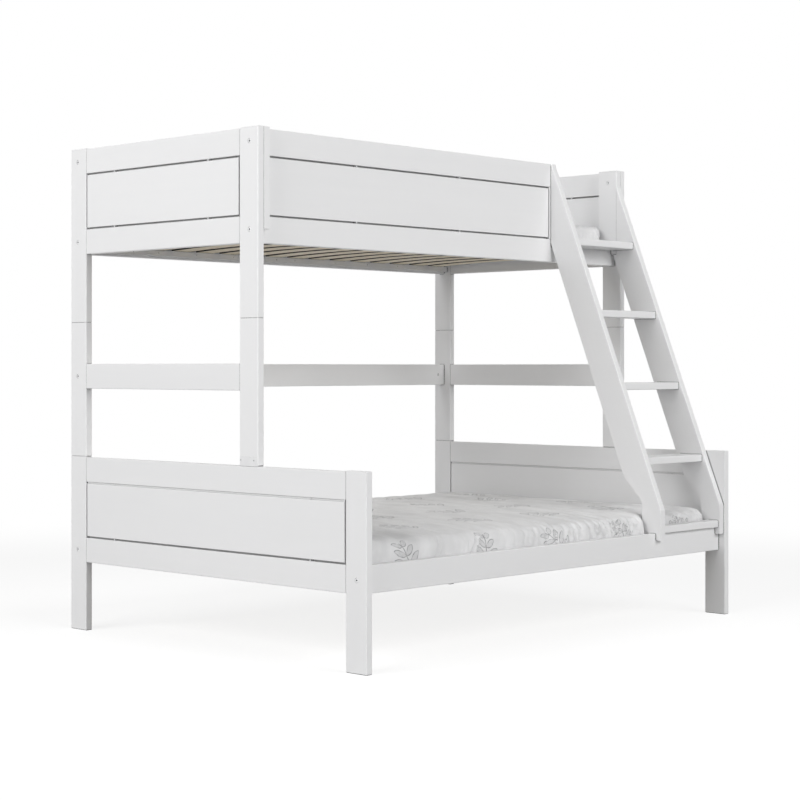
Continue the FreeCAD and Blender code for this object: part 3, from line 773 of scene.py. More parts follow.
@dataclass
class SlatRow:
    """The bowed pine slats of one deck."""

    deck: str
    low: Point
    high: Point
    seed: int
    count: int = 16
    width: float = 0.090
    planed_width: float = 0.081
    thickness: float = 0.007
    bow: float = 0.011
    bow_steps: int = 24
    end_play: float = 0.0015
    end_taper: float = 0.26
    taper_start: float = 0.80
    looseness: Point = (0.0012, 0.0015, 0.0)
    rounding: float = 0.0016
    rounding_steps: int = 2
    edge_range: Span = (0.3, 0.8)

    def tree(self) -> Tree:
        """Lay out the tree that repeats one planed slat.

        Returns:
            The geometry tree.
        """
        draft, given = start_tree("slat_row", {
            "Count": "NodeSocketInt",
            "Start": "NodeSocketVector",
            "Pitch": "NodeSocketVector",
            "Width": "NodeSocketFloat",
            "Thickness": "NodeSocketFloat",
            "Middle": "NodeSocketVector",
            "End": "NodeSocketVector",
            "Taper": "NodeSocketFloat",
            "Rounding": "NodeSocketFloat",
            "Seed": "NodeSocketInt",
            "Wood": "NodeSocketMaterial",
        })
        get = given.outputs
        section = draft.add("GeometryNodeCurvePrimitiveQuadrilateral", {
            0: get["Width"], 1: get["Thickness"]})
        eased = draft.add("GeometryNodeFilletCurve", {
            "Curve": section.outputs[0], "Radius": get["Rounding"], "Count": self.rounding_steps,
        }, mode="POLY")
        path = draft.add("GeometryNodeCurveQuadraticBezier", {
            "Resolution": self.bow_steps, "Start": (0.0, 0.0, 0.0),
            "Middle": get["Middle"], "End": get["End"]})
        share = draft.signal(draft.add("GeometryNodeSplineParameter").outputs["Factor"])
        narrow = (share * 2.0 - 1.0).size().ramp(self.taper_start, 1.0)
        narrow = narrow * draft.signal(get["Taper"])
        tapered = draft.add("GeometryNodeSetCurveRadius", {
            "Curve": path.outputs[0], "Radius": 1.0 - narrow})
        slat = draft.add("GeometryNodeCurveToMesh", {
            "Curve": tapered.outputs[0], "Profile Curve": eased.outputs[0], "Fill Caps": True})
        # The slats' long side faces are marked for the pine's painted shade.
        normal = draft.add("GeometryNodeInputNormal")
        facing = draft.add("ShaderNodeSeparateXYZ", {0: normal.outputs[0]})
        edge = draft.signal(facing.outputs[0]).size().ramp(*self.edge_range)
        slat = draft.add("GeometryNodeStoreNamedAttribute", {
            "Geometry": slat.outputs[0], "Name": BarePine.edge_name, "Value": edge,
        }, data_type="FLOAT", domain="FACE")
        line = draft.add("GeometryNodeMeshLine", {
            "Count": get["Count"], "Start Location": get["Start"], "Offset": get["Pitch"],
        }, mode="OFFSET")
        shift = draft.add("FunctionNodeRandomValue", {
            0: tuple(-way for way in self.looseness), 1: self.looseness, "Seed": get["Seed"],
        }, data_type="FLOAT_VECTOR")
        moved = draft.add("GeometryNodeSetPosition", {
            "Geometry": line.outputs[0], "Offset": shift.outputs[0]})
        row = draft.add("GeometryNodeInstanceOnPoints", {
            "Points": moved.outputs[0], "Instance": slat.outputs[0]})
        tone = draft.add("FunctionNodeRandomValue", {"Seed": get["Seed"]}, data_type="FLOAT")
        marked = draft.add("GeometryNodeStoreNamedAttribute", {
            "Geometry": row.outputs[0], "Name": BarePine.tone_name, "Value": tone.outputs[1],
        }, data_type="FLOAT", domain="INSTANCE")
        whole = draft.add("GeometryNodeRealizeInstances", {"Geometry": marked.outputs[0]})
        dressed = draft.add("GeometryNodeSetMaterial", {
            "Geometry": whole.outputs[0], "Material": get["Wood"]})
        draft.add("NodeGroupOutput", {0: dressed.outputs[0]})
        return draft.tree

    def build(self, finishes: Finishes) -> Piece:
        """Make the row of slats in place of the solid ones.

        Args:
            finishes: The bed's finishes.

        Returns:
            The finished piece.
        """
        name = f"{self.deck}_pine_slats"
        piece = new_piece(name, bpy.data.meshes.new(name))
        first = self.low[0] + self.width / 2
        pitch = (self.high[0] - self.low[0] - self.width) / (self.count - 1)
        length = self.high[1] - self.low[1] - 2.0 * self.end_play
        run_tree(piece, self.tree(), {
            "Count": self.count,
            "Start": (first, self.low[1] + self.end_play, self.low[2] + self.thickness / 2),
            "Pitch": (pitch, 0.0, 0.0),
            "Width": self.planed_width,
            "Thickness": self.thickness,
            "Middle": (0.0, length / 2, 2.0 * self.bow),
            "End": (0.0, length, 0.0),
            "Taper": self.end_taper,
            "Rounding": self.rounding,
            "Seed": self.seed,
            "Wood": finishes.pine,
        })
        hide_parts(f"{self.deck}_slats")
        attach(piece, "frame")
        return piece


class Recess(Enum):
    """The drive that is sunk into a fastener's head."""

    HEX = "hex"
    CROSS = "cross"
    SLOT = "slot"


@dataclass(frozen=True)
class FastenerShape:
    """One bolt, screw, nut or peg, with its head's top at the origin and facing up.

    A seat wider than the head stands for the washer in the bottom of its hole; seat and drive get
    painted shade.
    """

    name: str
    head_radius: float
    head_height: float
    rim: float
    recess: Recess
    recess_size: float
    recess_depth: float
    shank_radius: float
    length: float
    seat_radius: float = 0.0
    seat_thickness: float = 0.0008
    slot_share: float = 0.3
    sides: int = 24

    def _drive(self, angle: float) -> float:
        """Give the drive's outline.

        Args:
            angle: The angle round the axis.

        Returns:
            The distance from the axis to the drive's wall.
        """
        c, s = max(abs(math.cos(angle)), HAIR), max(abs(math.sin(angle)), HAIR)
        size, narrow = self.recess_size, self.recess_size * self.slot_share
        if self.recess is Recess.HEX:
            return size / math.cos((angle % (math.pi / 3)) - math.pi / 6)
        flat = min(size / c, narrow / s)
        return flat if self.recess is Recess.SLOT else max(flat, min(narrow / c, size / s))

    def mesh(self) -> Mesh:
        """Sweep the outline round the axis and sink the drive into the head.

        Returns:
            The mesh, with dark marked on the faces that get painted shade.
        """
        shape = bmesh.new()
        angles = [math.tau * (step + 0.5) / self.sides for step in range(self.sides)]
        seat = max(self.seat_radius, self.head_radius)
        under = -self.head_height - self.seat_thickness
        profile = (
            (self.shank_radius, -self.length),
            (self.shank_radius, under),
            (seat, under),
            (seat, -self.head_height),
            (self.head_radius, -self.head_height),
            (self.head_radius, -self.rim),
            (self.head_radius - self.rim, 0.0),
        )
        outlines = [([radius] * self.sides, height) for radius, height in profile]
        drive = [self._drive(angle) for angle in angles]
        outlines += [(drive, 0.0), (drive, -self.recess_depth)]
        rings = [[
            shape.verts.new((radius * math.cos(angle), radius * math.sin(angle), height))
            for radius, angle in zip(radii, angles)] for radii, height in outlines]
        dark = shape.faces.layers.float.new("dark")
        # The seat's rim, the seat's face and the drive's wall get painted shade, as does the
        # drive's floor below.
        shaded = (2, 3, len(rings) - 2)
        for number, (lower, upper) in enumerate(zip(rings, rings[1:])):
            for step in range(self.sides):
                after = (step + 1) % self.sides
                side = shape.faces.new((lower[step], lower[after], upper[after], upper[step]))
                side[dark] = 1.0 if number in shaded else 0.0
        shape.faces.new(list(reversed(rings[0])))
        shape.faces.new(rings[-1])[dark] = 1.0
        mesh = bpy.data.meshes.new(self.name)
        shape.to_mesh(mesh)
        shape.free()
        return mesh


@dataclass
class FastenerSet:
    """Many equal fasteners at their places, each facing its own way."""

    name: str
    shape: FastenerShape
    places: list[Placing]
    seed: int = 3

    def tree(self) -> Tree:
        """Lay out the tree that sets one fastener on each point.

        Returns:
            The geometry tree.
        """
        draft, given = start_tree("fastener_set", {
            "Fastener": "NodeSocketObject",
            "Scale": "NodeSocketFloat",
            "Seed": "NodeSocketInt",
            "Metal": "NodeSocketMaterial",
            "Dark": "NodeSocketMaterial",
        })
        get = given.outputs
        source = draft.add("GeometryNodeObjectInfo", {"Object": get["Fastener"]})
        facing = draft.add("GeometryNodeInputNamedAttribute", {
            "Name": "facing"}, data_type="FLOAT_VECTOR")
        aimed = draft.add("FunctionNodeAlignRotationToVector", {
            "Vector": facing.outputs[0]}, axis="Z")
        angle = draft.add("FunctionNodeRandomValue", {
            2: 0.0, 3: math.tau, "Seed": get["Seed"]}, data_type="FLOAT")
        roll = draft.add("ShaderNodeCombineXYZ", {2: angle.outputs[1]})
        turned = draft.add("FunctionNodeRotateRotation", {
            0: aimed.outputs[0], 1: roll.outputs[0]}, rotation_space="LOCAL")
        spread = draft.add("GeometryNodeInstanceOnPoints", {
            "Points": get["Geometry"], "Instance": source.outputs["Geometry"],
            "Rotation": turned.outputs[0], "Scale": get["Scale"]})
        whole = draft.add("GeometryNodeRealizeInstances", {"Geometry": spread.outputs[0]})
        plated = draft.add("GeometryNodeSetMaterial", {
            "Geometry": whole.outputs[0], "Material": get["Metal"]})
        # Faces marked dark take the painted shade finish.
        marked = draft.add("GeometryNodeInputNamedAttribute", {"Name": "dark"}, data_type="FLOAT")
        sunk = draft.add("FunctionNodeCompare", {
            0: marked.outputs[0], 1: 0.5}, operation="GREATER_THAN")
        dressed = draft.add("GeometryNodeSetMaterial", {
            "Geometry": plated.outputs[0], "Selection": sunk.outputs[0], "Material": get["Dark"]})
        draft.add("NodeGroupOutput", {0: dressed.outputs[0]})
        return draft.tree

    def build(self, metal: Material, dark: Material, slot: str, stands_for: str = "") -> Piece:
        """Make all the fasteners as one piece of the frame.

        Args:
            metal: Their finish.
            dark: The painted shade of their drives and seats.
            slot: Not used.
            stands_for: The solid that they take the place of, if any.

        Returns:
            The finished piece.
        """
        mesh = bpy.data.meshes.new(self.name)
        mesh.from_pydata([place for place, _ in self.places], [], [])
        facing = mesh.attributes.new("facing", "FLOAT_VECTOR", "POINT")
        facing.data.foreach_set("vector", [number for _, way in self.places for number in way])
        template = new_piece(f"{self.name}_template", self.shape.mesh())
        piece = new_piece(self.name, mesh)
        run_tree(piece, self.tree(), {
            "Fastener": template, "Scale": 1.0, "Seed": self.seed, "Metal": metal, "Dark": dark})
        bpy.data.objects.remove(template)
        if stands_for:
            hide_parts(stands_for)
        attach(piece, "frame")
        return piece


@dataclass
class FrameFastenings:
    """Bolts, nuts and screws of the painted frame."""

    bolt: FastenerShape = FastenerShape(
        "bolt", head_radius=0.0072, head_height=0.0010, rim=0.0003, recess=Recess.HEX,
        recess_size=0.0033, recess_depth=0.0024, shank_radius=0.0040, length=0.030,
        seat_radius=0.0081)
    nut: FastenerShape = FastenerShape(
        "nut", head_radius=0.0058, head_height=0.020, rim=0.0006, recess=Recess.SLOT,
        recess_size=0.0046, recess_depth=0.0022, shank_radius=0.0057, length=0.021)
    screw: FastenerShape = FastenerShape(
        "screw", head_radius=0.0042, head_height=0.0016, rim=0.0009, recess=Recess.CROSS,
        recess_size=0.0024, recess_depth=0.0012, shank_radius=0.0016, length=0.012)
    sleeve_radius: float = 0.0056
    sleeve_length: float = 0.020
    post_face: float = 1.035
    corner_face: float = 0.979
    rail_setback: float = 0.042
    rear_line: float = 0.718
    upper_line: float = -0.218
    lower_line: float = -0.718
    lower_height: float = 0.2975
    middle_height: float = 0.939
    upper_height: float = 1.4355
    guard_height: float = 1.7325
    board: float = 0.028
    sunk: float = 0.0002
    nut_sunk: float = 0.001
    ledger_stops: tuple[float, ...] = (0.052, 0.288, 0.484, 0.675, 0.800)
    ledger_depth: float = 0.020
    shoe_stops: Span = (-0.176, -0.241)
    shoe_drop: float = 0.011
    hanger_plate: float = 0.002
    hanger_inset: float = 0.012
    hanger_drop: float = 0.010

    def bolt_lines(self) -> list[tuple[float, float, float]]:
        """Give each bolt's place on a post and what it clamps.

        Returns:
            Its Y, its Z and the thickness of the boards under its head.
        """
        one, two = self.board, 2 * self.board
        return [
            (self.lower_line, self.lower_height, one), (self.rear_line, self.lower_height, one),
            (self.upper_line, self.upper_height, one), (self.rear_line, self.upper_height, one),
            (self.upper_line, self.guard_height, two), (self.rear_line, self.guard_height, two),
            (self.rear_line, self.middle_height, one),
        ]

    def build(self, finishes: Finishes) -> list[Piece]:
        """Make every visible fastener.

        Args:
            finishes: The bed's finishes.

        Returns:
            The finished pieces.
        """
        sleeve = replace(
            self.bolt, name="sleeve", shank_radius=self.sleeve_radius, length=self.sleeve_length)
        sleeve_line = (self.upper_line, self.guard_height)
        heads: list[Placing] = []
        nuts: list[Placing] = []
        for side in (-1.0, 1.0):
            for y, z, grip in self.bolt_lines():
                heads.append(((side * (self.post_face - self.sunk), y, z), (side, 0.0, 0.0)))
                if side > 0.0 and (y, z) == sleeve_line:
                    continue
                inward = -1.0 if y > 0.0 else 1.0
                x = side * (self.post_face - grip - self.rail_setback)
                reach = inward * (self.board / 2 - self.nut_sunk)
                nuts.append(((x, y + reach, z), (0.0, inward, 0.0)))
        lone = [((self.corner_face + self.sunk, *sleeve_line), (-1.0, 0.0, 0.0))]
        steel = (finishes.zinc, finishes.recess_shade, "steel")
        white = (finishes.powder, finishes.recess_shade, "white_steel")
        return [
            FastenerSet("bolt_heads", self.bolt, heads).build(*steel, stands_for="frame_bolts"),
            FastenerSet("barrel_nuts", self.nut, nuts, 7).build(*steel, stands_for="bolt_nuts"),
            FastenerSet("sleeve_nut", sleeve, lone).build(*steel),
            FastenerSet("ledger_screws", self.screw, self.ledger_places(), 9).build(*steel),
            FastenerSet("plate_screws", self.screw, self.plate_places(), 13).build(*white),
        ]

    def ledger_places(self) -> list[Placing]:
        """Give the places of the screws along the four ledgers.

        Returns:
            Each screw's place and the way it faces.
        """
        places = []
        for node in ("lower_ledgers", "upper_ledgers"):
            low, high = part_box(node)
            z = (low.z + high.z) / 2
            for face, way in ((low.y + self.ledger_depth, 1.0), (high.y - self.ledger_depth, -1.0)):
                y = face + way * self.screw.head_height
                for stop in self.ledger_stops:
                    places += [((side * stop, y, z), (0.0, way, 0.0)) for side in (-1.0, 1.0)]
        return places

    def plate_places(self) -> list[Placing]:
        """Give the places of the screws in the post shoes and beam hangers.

        Returns:
            Each screw's place and the way it faces.
        """
        places = []
        _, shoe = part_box("post_shoes")
        low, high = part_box("beam_hangers")
        for side in (-1.0, 1.0):
            x = side * (shoe.x + self.screw.head_height)
            for y in self.shoe_stops:
                places.append(((x, y, shoe.z - self.shoe_drop), (side, 0.0, 0.0)))
            x = side * (high.x - self.hanger_plate - self.screw.head_height)
            for y in (low.y + self.hanger_inset, high.y - self.hanger_inset):
                for z in (low.z + self.hanger_inset, high.z - self.hanger_drop):
                    places.append(((x, y, z), (-side, 0.0, 0.0)))
        return places


@dataclass
class PaintedFrame:
    """The painted boards and coated plates, which keep their solid shapes."""

    upright: tuple[str, ...] = (
        "leg_", "extension_post_", "upper_post_", "corner_board_", "front_guard_stile")
    crosswise: tuple[str, ...] = (
        "lower_left_", "lower_right_", "upper_left_", "upper_right_",
        "mid_rail_left", "mid_rail_right")
    leaning: tuple[str, ...] = ("ladder_left_stringer", "ladder_right_stringer")
    plates: tuple[str, ...] = ("post_shoes", "beam_hangers")
    # These solids take the paint without painted shade in joints and gaps.
    unshaded: dict[str, Grain] = field(default_factory=lambda: {
        "panel_dowels": Grain.UPRIGHT, "upper_rear_rail": Grain.LENGTHWISE})

    def finish_of(self, name: str, finishes: Finishes) -> Material:
        """Choose a solid's finish by the way its grain runs.

        Args:
            name: The solid's name.
            finishes: The bed's finishes.

        Returns:
            The material.
        """
        if name in self.plates:
            return finishes.powder
        if name in self.unshaded:
            return finishes.unshaded_paint[self.unshaded[name]]
        grain = Grain.LENGTHWISE
        if name.startswith(self.upright):
            grain = Grain.UPRIGHT
        elif name.startswith(self.crosswise):
            grain = Grain.CROSSWISE
        elif name in self.leaning:
            grain = Grain.LEANING
        return finishes.paint[grain]

    def dress(self, finishes: Finishes, skipped: Iterable[str]) -> int:
        """Paint every solid that shows.

        Args:
            finishes: The bed's finishes.
            skipped: Solids that other pieces stand for.

        Returns:
            How many solids were painted.
        """
        hidden = set(skipped)
        shown = [name for name in sorted(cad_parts) if name not in hidden]
        for name in shown:
            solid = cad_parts[name]
            material = self.finish_of(name, finishes)
            if not solid.material_slots:
                solid.data.materials.append(material)
            for slot in solid.material_slots:
                slot.material = material
        return len(shown)


@dataclass(frozen=True)
class PanelGap:
    """The gap between a panel and the rail above or below it."""

    panel: str
    rail: str
    tongue: float = 0.004


@dataclass
class PanelTongues:
    """Painted tongues that close the gaps between the panels and their rails."""

    shallow: float = 0.020
    easing: float = 0.0006
    panel_thickness: float = 0.026
    end_wall: float = 1.0
    peg_radius: float = 0.0029
    peg_setback: float = 0.0008
    peg_back: float = 0.0012
    peg_rim: float = 0.0005
    dimple: float = 0.0010
    dimple_depth: float = 0.0003

    def gaps(self) -> list[PanelGap]:
        """List every gap with the thickness of the tongue in it.

        Returns:
            The gaps of both decks' ends and of the two guards.
        """
        gaps = []
        for side in ("left", "right"):
            for deck in ("lower", "upper"):
                top = PanelGap(f"{deck}_{side}_panel", f"{deck}_{side}_top_rail")
                if deck == "lower":
                    top = replace(top, tongue=self.shallow)
                gaps += [top, PanelGap(top.panel, f"{deck}_{side}_bottom_rail")]
        for side in ("front", "rear"):
            gaps.append(PanelGap(f"{side}_guard_panel", f"{side}_guard_rail"))
            gaps.append(PanelGap(f"{side}_guard_panel", f"upper_{side}_rail"))
        return gaps

    def bar(self, shape: bmesh.types.BMesh, gap: PanelGap) -> None:
        """Add the eased bar of one tongue.

        Args:
            shape: The mesh that gets the bar.
            gap: The gap that it closes.
        """
        low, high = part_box(gap.panel)
        rail_low, rail_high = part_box(gap.rail)
        over = rail_low.z > high.z
        bottom, top = (high.z, rail_low.z) if over else (rail_high.z, low.z)
        run = 0 if high.x - low.x > high.y - low.y else 1
        middle = (low[1 - run] + high[1 - run]) / 2
        half, ease = gap.tongue / 2, self.easing
        outline = (
            (-half, bottom), (-half + ease, bottom - ease),
            (half - ease, bottom - ease), (half, bottom),
            (half, top), (half - ease, top + ease),
            (-half + ease, top + ease), (-half, top),
        )
        ends = []
        for place in (low[run], high[run]):
            ring = []
            for offset, z in outline:
                spot = [0.0, 0.0, z]
                spot[run], spot[1 - run] = place, middle + offset
                ring.append(shape.verts.new(spot))
            ends.append(ring)
        for step in range(len(outline)):
            after = (step + 1) % len(outline)
            shape.faces.new((ends[0][step], ends[0][after], ends[1][after], ends[1][step]))
        shape.faces.new(ends[0])
        shape.faces.new(list(reversed(ends[1])))

    def peg_places(self) -> list[Placing]:
        """Find the dowels between the panels and their rails.

        Returns:
            A peg's place and facing at each dowel.
        """
        shape = bmesh.new()
        shape.from_mesh(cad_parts["panel_dowels"].data)
        bmesh.ops.remove_doubles(shape, verts=shape.verts, dist=MERGE)
        places: list[Placing] = []
        left = set(shape.verts)
        while left:
            island, edge = [], [left.pop()]
            while edge:
                corner = edge.pop()
                island.append(tuple(corner.co))
                near = {side.other_vert(corner) for side in corner.link_edges} & left
                left -= near
                edge += near
            # The sum is taken in a fixed order, so that every run gives the same middle.
            middle = sum(map(Vector, sorted(island)), Vector((0.0, 0.0, 0.0))) / len(island)
            way = Vector((math.copysign(1.0, middle.x), 0.0, 0.0))
            if abs(middle.x) < self.end_wall:
                way = Vector((0.0, math.copysign(1.0, middle.y), 0.0))
            spot = middle + way * (self.panel_thickness / 2 - self.peg_setback)
            places.append((tuple(round(number, 6) for number in spot), tuple(way)))
        shape.free()
        return sorted(places)

    def pegs(self, finishes: Finishes) -> Piece:
        """Make the white spacer pegs that stand in the gaps at the dowels.

        Args:
            finishes: The bed's finishes.

        Returns:
            The finished piece.
        """
        length = self.panel_thickness - 2.0 * self.peg_setback
        peg = FastenerShape(
            "peg", self.peg_radius, length - self.peg_back, self.peg_rim, Recess.HEX,
            self.dimple, self.dimple_depth, self.peg_radius, length)
        pegs = FastenerSet("panel_pegs", peg, self.peg_places(), 17)
        paint = finishes.unshaded_paint[Grain.UPRIGHT]
        return pegs.build(paint, paint, "white_paint")

    def build(self, finishes: Finishes) -> Piece:
        """Make all the tongues as one piece.

        Args:
            finishes: The bed's finishes.

        Returns:
            The finished piece.
        """
        shape = bmesh.new()
        for gap in self.gaps():
            self.bar(shape, gap)
        bmesh.ops.recalc_face_normals(shape, faces=shape.faces)
        mesh = bpy.data.meshes.new("panel_tongues")
        shape.to_mesh(mesh)
        shape.free()
        # This paint's painted shade darkens the tongues nearly black deep in the gaps.
        mesh.materials.append(finishes.paint[Grain.CROSSWISE])
        piece = new_piece("panel_tongues", mesh)
        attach(piece, "frame")
        return piece


def read_rows(items: bpy.types.bpy_prop_collection, name: str) -> np.ndarray:
    """Read a property of three numbers from every item of a mesh.

    Args:
        items: The mesh's points or normals.
        name: The property's name.

    Returns:
        One row for each item.
    """
    flat = np.empty(len(items) * 3, np.float32)
    items.foreach_get(name, flat)
    return flat.reshape(-1, 3).astype(float)


@dataclass(frozen=True)
class Crease:
    """A soft fold down a mattress border."""

    place: float
    slant: float
    depth: float
    width: float = 0.006


@dataclass(frozen=True)
class CoverCloth:
    """How the cover gives way while it is blown up."""

    quality: int = 4
    mass: float = 0.35
    stretch: float = 12.0
    bending: float = 1.5
    pressure: float = 6.5
    frames: int = 12


@dataclass(frozen=True)
class TopFolds:
    """Soft waves and fine wrinkles over a mattress top, calm along its rear edge."""

    waves: int = 9
    wave_turn: Span = (1.35, 0.25)
    wave_size: Span = (0.06, 0.17)
    wave_height: float = 0.0011
    wrinkles: int = 90
    wrinkle_turn: Span = (-1.45, 0.22)
    wrinkle_length: Span = (0.05, 0.15)
    wrinkle_width: Span = (0.006, 0.010)
    wrinkle_sway: float = 0.012
    wrinkle_depth: float = 0.0036
    calm: Span = (0.02, 0.16)
    level: Span = (0.80, 0.97)


@dataclass
class Mattress:
    """A sewn mattress: a cloth cover blown up over foam, drawn in by folds and a border seam."""

    node: str
    body: str
    creases: tuple[Crease, ...]
    corner: float
    puffed: Span
    feet: tuple[float, ...] = ()
    seed: int = 1
    print_shift: float = 0.0
    boards: tuple[str, ...] = ()
    cloth: CoverCloth = CoverCloth()
    top: TopFolds = TopFolds()
    cell: Point = (0.0090, 0.0160, 0.0125)
    shrink: float = 0.0035
    border: float = 0.110
    border_reach: float = 0.03
    crown: float = 0.0125
    crown_reach: float = 0.42
    roll: float = 0.040
    under_roll: float = 0.012
    held_under: float = 0.010
    held_creases: float = 0.085
    cap: float = 0.004
    puff: float = 0.0085
    puff_pitch: float = 0.050
    seam_rise: float = 0.026
    seam_steps: int = 900
    seam_start: float = 0.1
    edge_drop: float = 0.014
    slack: float = 0.0015
    headroom: float = 0.008
    foot_rear: float = -0.670
    foot_room: float = 0.004
    foot_give: float = 0.03
    foot_width: Span = (0.038, 0.018)
    end_foot: float = 0.9
    board_gap: float = 0.0045
    board_squeeze: float = 0.05
    board_range: Span = (-0.035, -0.004)
    low: Vector = field(init=False)
    high: Vector = field(init=False)
    middle: Vector = field(init=False)

    def build(self, finishes: Finishes) -> list[Piece]:
        """Make the mattress and its border seam.

        Args:
            finishes: The bed's finishes.

        Returns:
            The finished pieces.
        """
        self.low, self.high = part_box(self.node)
        self.middle = (self.low + self.high) / 2
        piece = self.start_form()
        self.blow_up(piece)
        self.refine(piece)
        self.fold(piece)
        self.map_cover(piece)
        piece.data.materials.clear()
        piece.data.materials.append(finishes.ticking)
        piece.data.shade_smooth()
        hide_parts(self.node)
        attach(piece, self.body)
        return [piece, self.seam(piece, finishes)]

    def net(self, counts: tuple[int, int, int]) -> tuple[np.ndarray, list[tuple[int, ...]]]:
        """Divide the faces of a box into a closed net.

        Args:
            counts: How many cells lie along each axis.

        Returns:
            The net's points as cell numbers, and its faces.
        """
        numbers: dict[tuple[int, int, int], int] = {}
        faces: list[tuple[int, ...]] = []

        def patch(fixed: int, level: int, first: int, second: int, turned: bool) -> None:
            """Net one side of the box.

            Args:
                fixed: The axis that the side faces.
                level: Its cell number along that axis.
                first: The axis along its rows.
                second: The axis along its columns.
                turned: Whether its faces turn the other way.
            """
            for i in range(counts[first]):
                for j in range(counts[second]):
                    ring = []
                    for u, v in ((i, j), (i + 1, j), (i + 1, j + 1), (i, j + 1)):
                        spot = [0, 0, 0]
                        spot[fixed], spot[first], spot[second] = level, u, v
                        ring.append(numbers.setdefault(tuple(spot), len(numbers)))
                    faces.append(tuple(reversed(ring)) if turned else tuple(ring))

        for fixed, (first, second) in enumerate(((1, 2), (2, 0), (0, 1))):
            patch(fixed, 0, first, second, True)
            patch(fixed, counts[fixed], first, second, False)
        return np.array(list(numbers), float), faces

    def rounded(self, box: np.ndarray, half: np.ndarray) -> np.ndarray:
        """Round a box's upright corners in plan, roll its edges and crown its top.

        Args:
            box: Points on the box, level with its middle in plan and from its underside up.
            half: Half its length and width.

        Returns:
            The points on the rounded form.
        """
        size = np.abs(box[:, :2])
        inset = (half - size).min(axis=1)
        past = np.maximum(size - (half - self.corner), 0.0)
        reach = np.hypot(*past.T)
        turned = past.min(axis=1) > 0.0
        shrunk = past.max(axis=1) / np.maximum(reach, TINY)
        plan = np.minimum(size, half - self.corner) + past * np.where(turned, shrunk, 1.0)[:, None]
        straight = np.eye(2)[(half - size).argmin(axis=1)]
        normal = np.where(turned[:, None], past / np.maximum(reach, TINY)[:, None], straight)
        z = box[:, 2]
        drawn, height = inset.copy(), z.copy()
        for radius, depth, up in ((self.roll, self.border - z, True), (self.under_roll, z, False)):
            near = (inset < radius) & (depth < radius)
            angle = math.pi / 4 * (1.0 + (depth - inset) / radius)
            drawn = np.where(near, radius * (1.0 - np.sin(angle)), drawn)
            level = radius * (1.0 - np.cos(angle))
            height = np.where(near, self.border - level if up else level, height)
        plan = (plan + normal * (inset - drawn)[:, None]) * np.sign(box[:, :2])
        rise = 1.0 - (1.0 - np.minimum(inset / self.crown_reach, 1.0)) ** 2
        height += np.where(z > self.border - HAIR, self.crown * rise, 0.0)
        return np.column_stack((plan, height))

    def start_form(self) -> Piece:
        """Net the foam's rounded form over the solid's place.

        Returns:
            The new piece.
        """
        half = np.array(self.high - self.low)[:2] / 2 - self.shrink
        sizes = (*(2.0 * half), self.border)
        counts = tuple(max(4, round(size / cell)) for size, cell in zip(sizes, self.cell))
        spots, faces = self.net(counts)
        box = spots / np.array(counts) * np.array(sizes)
        box[:, :2] -= half
        points = self.rounded(box, half) + np.array((self.middle.x, self.middle.y, self.low.z))
        mesh = bpy.data.meshes.new(f"{self.node}_cover")
        mesh.from_pydata(points.tolist(), [], faces)
        mesh.update()
        return new_piece(f"{self.node}_cover", mesh)

    def points(self, piece: Piece) -> np.ndarray:
        """Read a piece's corner points as rows."""
        return read_rows(piece.data.vertices, "co")

    def outward(self, piece: Piece) -> np.ndarray:
        """Read a piece's outward directions at its corner points."""
        return read_rows(piece.data.vertex_normals, "vector")

    def set_points(self, piece: Piece, points: np.ndarray) -> None:
        """Write a piece's corner points back."""
        piece.data.vertices.foreach_set("co", points.astype(np.float32).ravel())
        piece.data.update()

    def blow_up(self, piece: Piece) -> None:
        """Blow the cover up as cloth, held at its underside and at the folds of its border.

        Args:
            piece: The mattress form, which gets the result.
        """
        before = self.points(piece)
        held = piece.vertex_groups.new(name="held")
        under = before[:, 2] < self.low.z + self.held_under
        away = np.abs(before[:, 1] - self.middle.y)
        border = away > (self.high.y - self.low.y) / 2 - self.border_reach
        for crease in self.creases:
            near = np.abs(before[:, 0] - crease.place) < self.cell[0] * 0.6
            under |= near & border & (before[:, 2] < self.low.z + self.held_creases)
        held.add([int(number) for number in np.flatnonzero(under)], 1.0, "REPLACE")
        cloth = piece.modifiers.new("cloth", "CLOTH")
        cloth.settings.quality = self.cloth.quality
        cloth.settings.mass = self.cloth.mass
        cloth.settings.tension_stiffness = self.cloth.stretch
        cloth.settings.compression_stiffness = self.cloth.stretch
        cloth.settings.bending_stiffness = self.cloth.bending
        cloth.settings.use_pressure = True
        cloth.settings.uniform_pressure_force = self.cloth.pressure
        cloth.settings.vertex_group_mass = held.name
        cloth.settings.effector_weights.gravity = 0.0
        cloth.collision_settings.use_collision = False
        cloth.point_cache.frame_start = 1
        cloth.point_cache.frame_end = self.cloth.frames
        scene = bpy.context.scene
        for number in range(1, self.cloth.frames + 1):
            scene.frame_set(number)
        settle(piece)
        scene.frame_set(1)
        piece.vertex_groups.clear()
        moved = self.points(piece) - before
        length = np.linalg.norm(moved, axis=1, keepdims=True)
        moved *= np.tanh(length / self.cap) * self.cap / np.maximum(length, TINY)
        self.set_points(piece, before + moved)

    def refine(self, piece: Piece) -> None:
        """Divide the net once, smoothly.

        Args:
            piece: The mattress form.
        """
        finer = piece.modifiers.new("finer", "SUBSURF")
        finer.levels = 1
        finer.render_levels = 1
        settle(piece)

